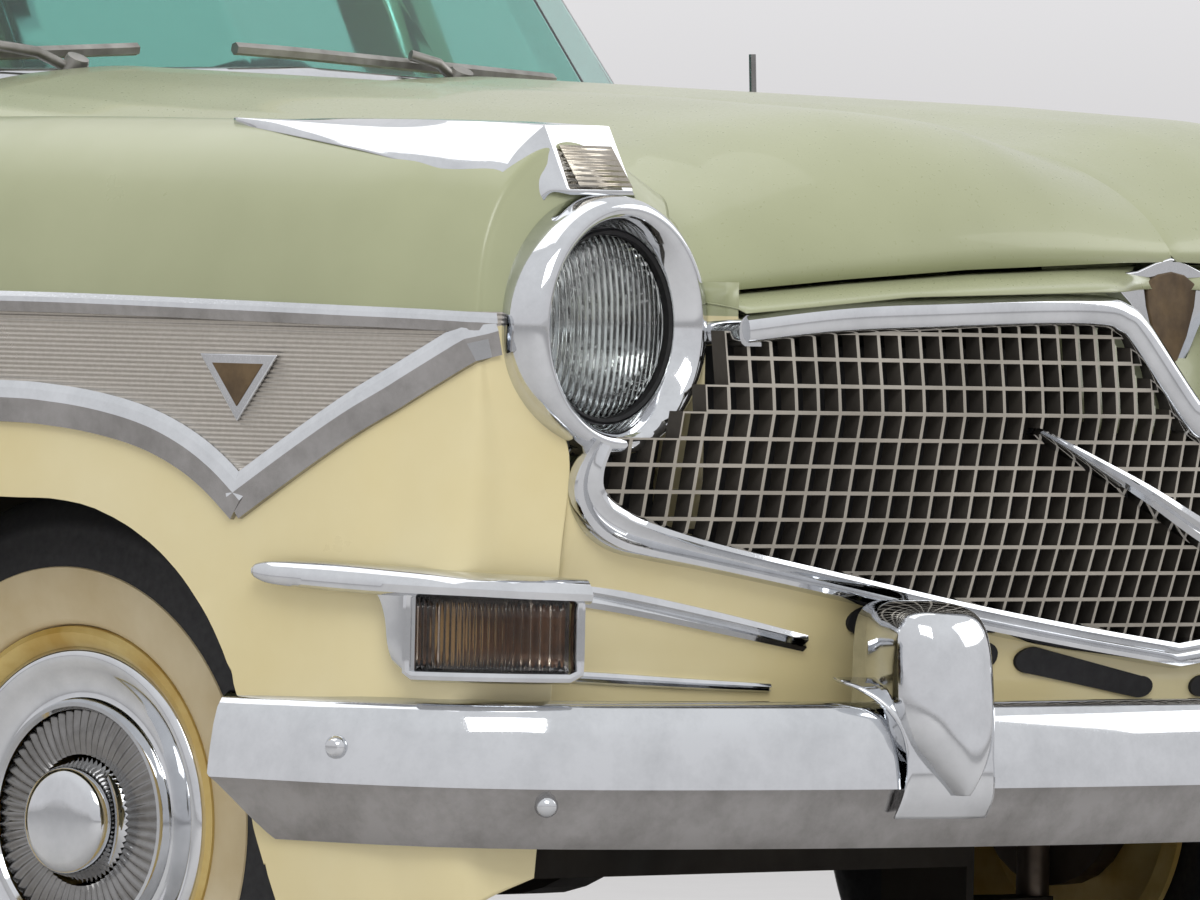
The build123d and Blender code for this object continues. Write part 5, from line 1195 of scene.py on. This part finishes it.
def handle(face, low, high):
    """Bow handle on two feet with a push button, from Y low to high."""
    grip = rod([Vector((face + 12, y, HANDLE_Z + 5 * sin((y - low) / (high - low) * pi)))
                for y in range(low, high + 1, 5)], 7.5, 14)
    feet = [lathe(((0, 18), (9, 17), (13, 8), (17, 0), (17, -6)), (face, y, HANDLE_Z),
                  LEFT, 24) for y in (low + 12, high - 16)]
    button = lathe(((0, 18), (10, 17), (12, 12), (12, -6)), (face, high + 14, HANDLE_Z),
                   LEFT, 24)
    return join(grip, button, *feet)


for name, body, start, end in PANELS:
    panel = bmesh.new()
    panel.from_mesh(frame["nodes"][name].data)
    find = side_finder(panel)
    panel.free()
    for side in ("left", "right"):
        turned = other_side if side == "right" else lambda bm: bm
        holder = body.replace("left", side)
        label = f"rear_quarter_{side}" if body == BODY else holder
        strips = join(*(sweep(side_line(((start, z), (end, z)), find, 24), section)
                        for z, section in ((BELT_Z, TOP_SECTION),
                                           (FOOT_Z, FOOT_SECTION))))
        paint_reflection_below(piece(f"{label}_mouldings", turned(within(strips)), CHROME, holder,
                         crease=11))
        if name in HANDLE_ENDS:
            low, high = HANDLE_ENDS[name]
            face = find((low + high) / 2, HANDLE_Z)[0].x
            piece(f"{holder}_handle", turned(handle(face, low, high)), CHROME, holder,
                  crease=45)

# Chrome trims round the door windows
WINDOW_SECTION = ((-8, -9), (5, -9), (9, -5), (9, 4), (5, 9), (-8, 9))
WINDOW_STEP = 60


def hull(points):
    """Convex outline of (y, z) points, anticlockwise."""
    ordered = sorted(points)
    outline = []
    for line in (ordered, ordered[::-1]):
        half = []
        for y, z in line:
            while len(half) > 1:
                (y0, z0), (y1, z1) = half[-2:]
                if (y1 - y0) * (z - z0) - (z1 - z0) * (y - y0) > 0.5:
                    break
                half.pop()
            half.append((y, z))
        outline += half[:-1]
    return outline


def window_trim(glass_name, out):
    """Strip that runs round the outer face of a door glass."""
    outermost = {}
    for vert in frame["nodes"][glass_name].data.vertices:
        co = vert.co / MM
        key = (round(co.y, 1), round(co.z, 1))
        if key not in outermost or abs(co.x) > abs(outermost[key].x):
            outermost[key] = co.copy()
    corners = [outermost[key] for key in hull(outermost)]
    line = []
    for a, b in zip(corners, corners[1:] + corners[:1]):
        count = max(1, round((b - a).length / WINDOW_STEP))
        line += [a + (b - a) * i / count for i in range(count)]
    centre = sum(line, Vector()) / len(line)
    stations = []
    for point, _, up in rail(line, [out] * len(line), closed=True):
        away = up if up.dot(point - centre) > 0 else -up
        stations.append((point - away * 4 + out * 3, out, away))
    return sweep(stations, WINDOW_SECTION, closed=True)


for end in ("front", "rear"):
    for side, way in (("left", 1), ("right", -1)):
        trim = window_trim(f"{end}_door_glass_{side}", Vector((way, 0, 0.37)).normalized())
        piece(f"{end}_window_trim_{side}", trim, CHROME, f"{end}_door_{side}", crease=40)

# Sill strips, tail lamps' rings, rear plate and boot lock
sills = sweep([(Vector((946, y, 262)), LEFT, UP) for y in range(-990, 941, 193)],
              FOOT_SECTION)
piece("sill_strips", both_sides(sills), CHROME, crease=30)
TAIL_R, TAIL_LENGTH, TAIL_Z = 66, 60, 820
tail_end = Vector(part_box("tail_lamps")[1]) / MM
ring = lathe(((78, 0), (79, 22), (75, 34), (68, 38), (62, 34), (60, 22), (60, 0)),
             (tail_end.x - TAIL_R, tail_end.y - TAIL_LENGTH, TAIL_Z), BACKWARD)
piece("tail_lamp_rings", both_sides(ring), CHROME, crease=45)
PLATE_CORNERS = ((-153, 470), (153, 470), (153, 620), (-153, 620))
PLATE_Y, PLATE_WALL = 2500, 3
plate = prism(PLATE_CORNERS, lambda a, b, c: (a, PLATE_Y + c, b), 0, PLATE_WALL)
piece("rear_plate", plate, PLATE, edge=1.2)
studs = [lathe(((0, 4), (6, 3), (8, 0), (8, -3)), (x, PLATE_Y + 4, 606), BACKWARD, 16)
         for x in (-90, 90)]
piece("rear_plate_bolts", join(*studs), CHROME)
lock = lathe(((0, 16), (12, 15), (16, 9), (24, 5), (27, 0), (27, -6)), (0, 2496, 712),
             BACKWARD, 48)
piece("boot_lock", lock, CHROME, "boot_lid", crease=45)

# Bench seats: pads with a crown and sewn channels
SEATS = (                  # node, half width, then cushion and back as Y-Z corners
    ("front_seat", 670, (-590, -85, 400, 590), (-120, 40, 520, 950)),
    ("rear_seat", 588, (425, 900, 400, 590), (880, 1060, 520, 935)),
)
CHANNEL_PITCH, CHANNEL_DEPTH, CROWN = 92, 6, 6


def pad(half, box, lean):
    """A crowned pad in a Y-Z box, leaning back by so much over its height."""
    y0, y1, z0, z1 = box
    bm = bmesh.new()
    bmesh.ops.create_cube(bm, size=2)
    bmesh.ops.subdivide_edges(bm, edges=bm.edges[:], cuts=31, use_grid_fill=True)
    middle = Vector((0, (y0 + y1) / 2, (z0 + z1) / 2))
    reach = Vector((half, (y1 - y0) / 2, (z1 - z0) / 2))
    radius = min(reach.y, reach.z) * 0.55
    core = [size - radius for size in reach]
    for vert in bm.verts:
        co = vert.co
        spot = Vector([a * size for a, size in zip(co, reach)])
        inner = Vector([max(-size, min(size, a)) for a, size in zip(spot, core)])
        away = spot - inner
        if away.length > 1e-6:
            spot = inner + away.normalized() * max(abs(a) for a in away)
        crown = (1 - co.x ** 2) * (1 - co.y ** 2 * 0.6) * (1 - co.z ** 2 * 0.6)
        spot.z += crown * CROWN * co.z
        if abs(co.x) < 0.94 and away.length > 1:
            groove = abs(cos(pi * spot.x / CHANNEL_PITCH)) ** 0.35
            spot -= (spot - inner).normalized() * CHANNEL_DEPTH * (1 - groove)
        spot += middle
        spot.y += lean * ((spot.z - z0) / (z1 - z0) - 0.5)
        vert.co = spot * MM
    return bm


for name, half, cushion, back in SEATS:
    made = piece(f"{name}_cushion", pad(half, cushion, 0), SEAT_CLOTH, replaces=(name,),
                 crease=180, rounds=1)
    made = piece(f"{name}_back", pad(half, back, 60), SEAT_CLOTH, crease=180, rounds=1)

# Under the bonnet: air cleaner, rocker covers, radiator hose and cap
engine_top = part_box("engine")[1][2] / MM
cleaner = lathe(((0, 72), (8, 82), (14, 72), (24, 68), (150, 64), (168, 56), (172, 40),
                 (168, 12), (150, 4), (60, 0), (60, -12)), (0, -1620, engine_top + 8),
                UP, 64)
piece("air_cleaner", cleaner, BLACK)
ROCKER = ((-42, 0), (42, 0), (42, 26), (30, 44), (-30, 44), (-42, 26))
covers = [prism(ROCKER, lambda a, b, c, x=x: (x + a, c, engine_top - 2 + b), -1930, -1310)
          for x in (-228, 228)]
piece("rocker_covers", join(*covers), ENGINE_ENAMEL, edge=7, crease=45)
HOSE_ROWS = ((-90, -2242, 800), (-92, -2200, 838), (-80, -2130, 876), (-40, -2060, 893),
             (0, -2000, 884))
hose = rod([Vector(point) for point in along(HOSE_ROWS, 6)], 21, 20)
piece("radiator_hose", hose, RUBBER, crease=60)
cap = lathe(((0, 22), (18, 22), (26, 17), (26, 8), (20, 6), (20, -8)), (0, -2268, 840),
            UP, 32)
piece("radiator_cap", cap, CHROME, crease=40)

# Panels that keep their CAD shape, with merged points and smooth shading
SMOOTHED = (
    "roof", "cowl", "deck_panel", "boot_lid", "tail_panel", "rear_quarters",
    "front_door_left", "front_door_right", "rear_door_left", "rear_door_right",
    "dashboard", "windscreen", "rear_window", "steering_wheel",
)
BODY_OF = {name: body for body, names in frame["record"]["behaviour"]["bodies"].items()
           for name in names}
for name in SMOOTHED:
    bm = bmesh.new()
    bm.from_mesh(frame["nodes"][name].data)
    bmesh.ops.remove_doubles(bm, verts=bm.verts, dist=2e-5)
    bmesh.ops.dissolve_degenerate(bm, edges=bm.edges, dist=1e-5)
    made = piece(f"{name}_surface", bm, FINISH_OF[name], BODY_OF[name], replaces=(name,),
                 crease=24)
    made.modifiers.new("even_shading", "WEIGHTED_NORMAL").keep_sharp = True

# Wheels and tyres. Rows are radius and distance outward from the wheel's middle.
TREAD = [row for middle in (-48, -16, 16, 48) for row in
         ((330, middle - 4), (322, middle - 3), (322, middle + 3), (330, middle + 4))]
TYRE_ROWS = ((184, -74), (200, -79), (232, -92), (262, -97), (292, -93), (314, -84),
             (325, -74), (330, -62), *TREAD, (330, 62), (325, 74), (314, 84),
             (302, 89), (296, 92.5), (290, 92.5), (280, 94), (268, 96), (254, 96.5))
WALL_ROWS = ((254, 96.5), (253, 98), (246, 98), (232, 96.5), (214, 92), (202, 87),
             (197, 84), (196, 78), (184, 66))
RIM_ROWS = ((23, -45), (60, -45), (60, -8), (150, -8), (168, -40), (168, -84),
            (195, -92), (195, -84), (182, -76), (182, 62), (189, 70), (195, 78),
            (194, 84), (188, 87), (181, 84), (174, 76), (170, 66), (150, 60))
COVER_ROWS = ((176, 70), (173, 77), (167, 80), (160, 79), (152, 74), (140, 69),
              (128, 67), (123, 68), (121, 74), (118, 80), (114, 80), (111, 76))
CAP_ROWS = ((66, 68), (60, 74), (57, 84), (54, 95), (50, 101), (42, 103), (20, 104),
            (0, 104.5))
FLUTE_ROWS = [(66 + 45 * i / 8, 72 + 3 * sin(pi * i / 8)) for i in range(9)]
FLUTE_COUNT, FLUTE_DEPTH = 60, 1.6


def flutes(centre, side):
    """Radial flutes of a wheel cover between its ring and its cap."""
    bm = lathe(FLUTE_ROWS, centre, LEFT * side, 240)
    for vert in bm.verts:
        local = vert.co / MM - centre
        turn = Vector((local.y, local.z)).angle_signed(Vector((0, 1)), 0)
        vert.co.x += side * FLUTE_DEPTH * MM * sin(turn * FLUTE_COUNT)
    return bm


for end, axle in (("front", FRONT_AXLE), ("rear", REAR_AXLE)):
    for label, side in (("left", 1), ("right", -1)):
        body = f"{end}_wheel_{label}"
        hub, out = Vector((side * HUB_X, axle, HUB_Z)), LEFT * side
        piece(f"{body}_tyre_carcass", lathe(TYRE_ROWS, hub, out, 128), RUBBER, body,
              replaces=(f"{end}_tyre_{label}",), crease=40)
        piece(f"{body}_whitewall", lathe(WALL_ROWS, hub, out, 128), WHITEWALL, body,
              crease=50)
        piece(f"{body}_rim", lathe(RIM_ROWS, hub, out, 128), RIM_PAINT, body,
              replaces=(body,), crease=40)
        cover = join(lathe(COVER_ROWS, hub, out, 128), lathe(CAP_ROWS, hub, out, 96))
        piece(f"{body}_cover", cover, CHROME, body, crease=50)
        piece(f"{body}_flutes", flutes(hub, side), DARK_CHROME, body, crease=80)

# Camera at the photograph's place
CAMERA_PLACE = (-10.88487, -11.48528, 0.9118)
TURN, DIP, ROLL = radians(48), radians(0.822), radians(1.2)
ahead = Vector((sin(TURN) * cos(DIP), cos(TURN) * cos(DIP), -sin(DIP)))
level = Vector((cos(TURN), -sin(TURN), 0))
plumb = level.cross(ahead)
right = level * cos(ROLL) + plumb * sin(ROLL)
top = plumb * cos(ROLL) - level * sin(ROLL)
camera = bpy.data.objects.new("camera", bpy.data.cameras.new("camera"))
camera.data.lens = 420
camera.data.sensor_width = 36
camera.data.sensor_fit = "HORIZONTAL"
camera.data.clip_end = 200
camera.matrix_world = Matrix.Translation(CAMERA_PLACE) @ Matrix(
    (right, top, -ahead)).transposed().to_4x4()
bpy.context.scene.collection.objects.link(camera)
bpy.context.scene.camera = camera

# Floor, sky and lamps
floor_mesh = bmesh.new()
bmesh.ops.create_grid(floor_mesh, x_segments=1, y_segments=1, size=30)
mesh = bpy.data.meshes.new("floor")
floor_mesh.to_mesh(mesh)
floor_mesh.free()
mesh.materials.append(PALE)
floor = bpy.data.objects.new("floor", mesh)
bpy.context.scene.collection.objects.link(floor)

world = bpy.data.worlds.new("pale_sky")
world.use_nodes = True
bpy.context.scene.world = world
tree = world.node_tree
axes = node(tree, "SeparateXYZ", {0: node(tree, "TexCoord").outputs["Generated"]})
rise = axes.outputs["Z"]
overhead = node(tree, "MapRange", {"Value": rise, "From Min": 0.0, "From Max": 0.6})
sky = node(tree, "Mix", {0: overhead, 6: srgb("E3E2E4"), 7: srgb("F4F5F7")},
           data_type="RGBA")
above = node(tree, "MapRange", {"Value": rise, "From Min": -0.06, "From Max": 0.02})
sky = node(tree, "Mix", {0: above, 6: srgb("8A8680"), 7: sky}, data_type="RGBA")
rays = node(tree, "LightPath").outputs
seen = node(tree, "Math", {0: rays["Is Camera Ray"], 1: rays["Is Glossy Ray"]},
            operation="MAXIMUM")
seen = node(tree, "Math", {0: seen, 1: rays["Is Transmission Ray"]},
            operation="MAXIMUM")
strength = node(tree, "MapRange", {"Value": seen, "To Min": 0.72})
node(tree, tree.nodes["Background"], {"Color": sky, "Strength": strength})


def soft_lamp(name, place, target, size, watts):
    lamp = bpy.data.objects.new(name, bpy.data.lights.new(name, "AREA"))
    lamp.data.shape = "RECTANGLE"
    lamp.data.size, lamp.data.size_y = size
    lamp.data.energy = watts
    lamp.location = place
    aim = Vector(target) - Vector(place)
    lamp.rotation_euler = aim.to_track_quat("-Z", "Y").to_euler()
    bpy.context.scene.collection.objects.link(lamp)


soft_lamp("key", (-5, -7, 6), (0, -1.5, 0.7), (5, 3), 260)
soft_lamp("fill", (6, -5, 4), (0, -1, 0.7), (5, 3), 90)
soft_lamp("top", (0, 1, 7), (0, 0, 0), (7, 7), 160)

bpy.context.scene.view_settings.view_transform = "Standard"
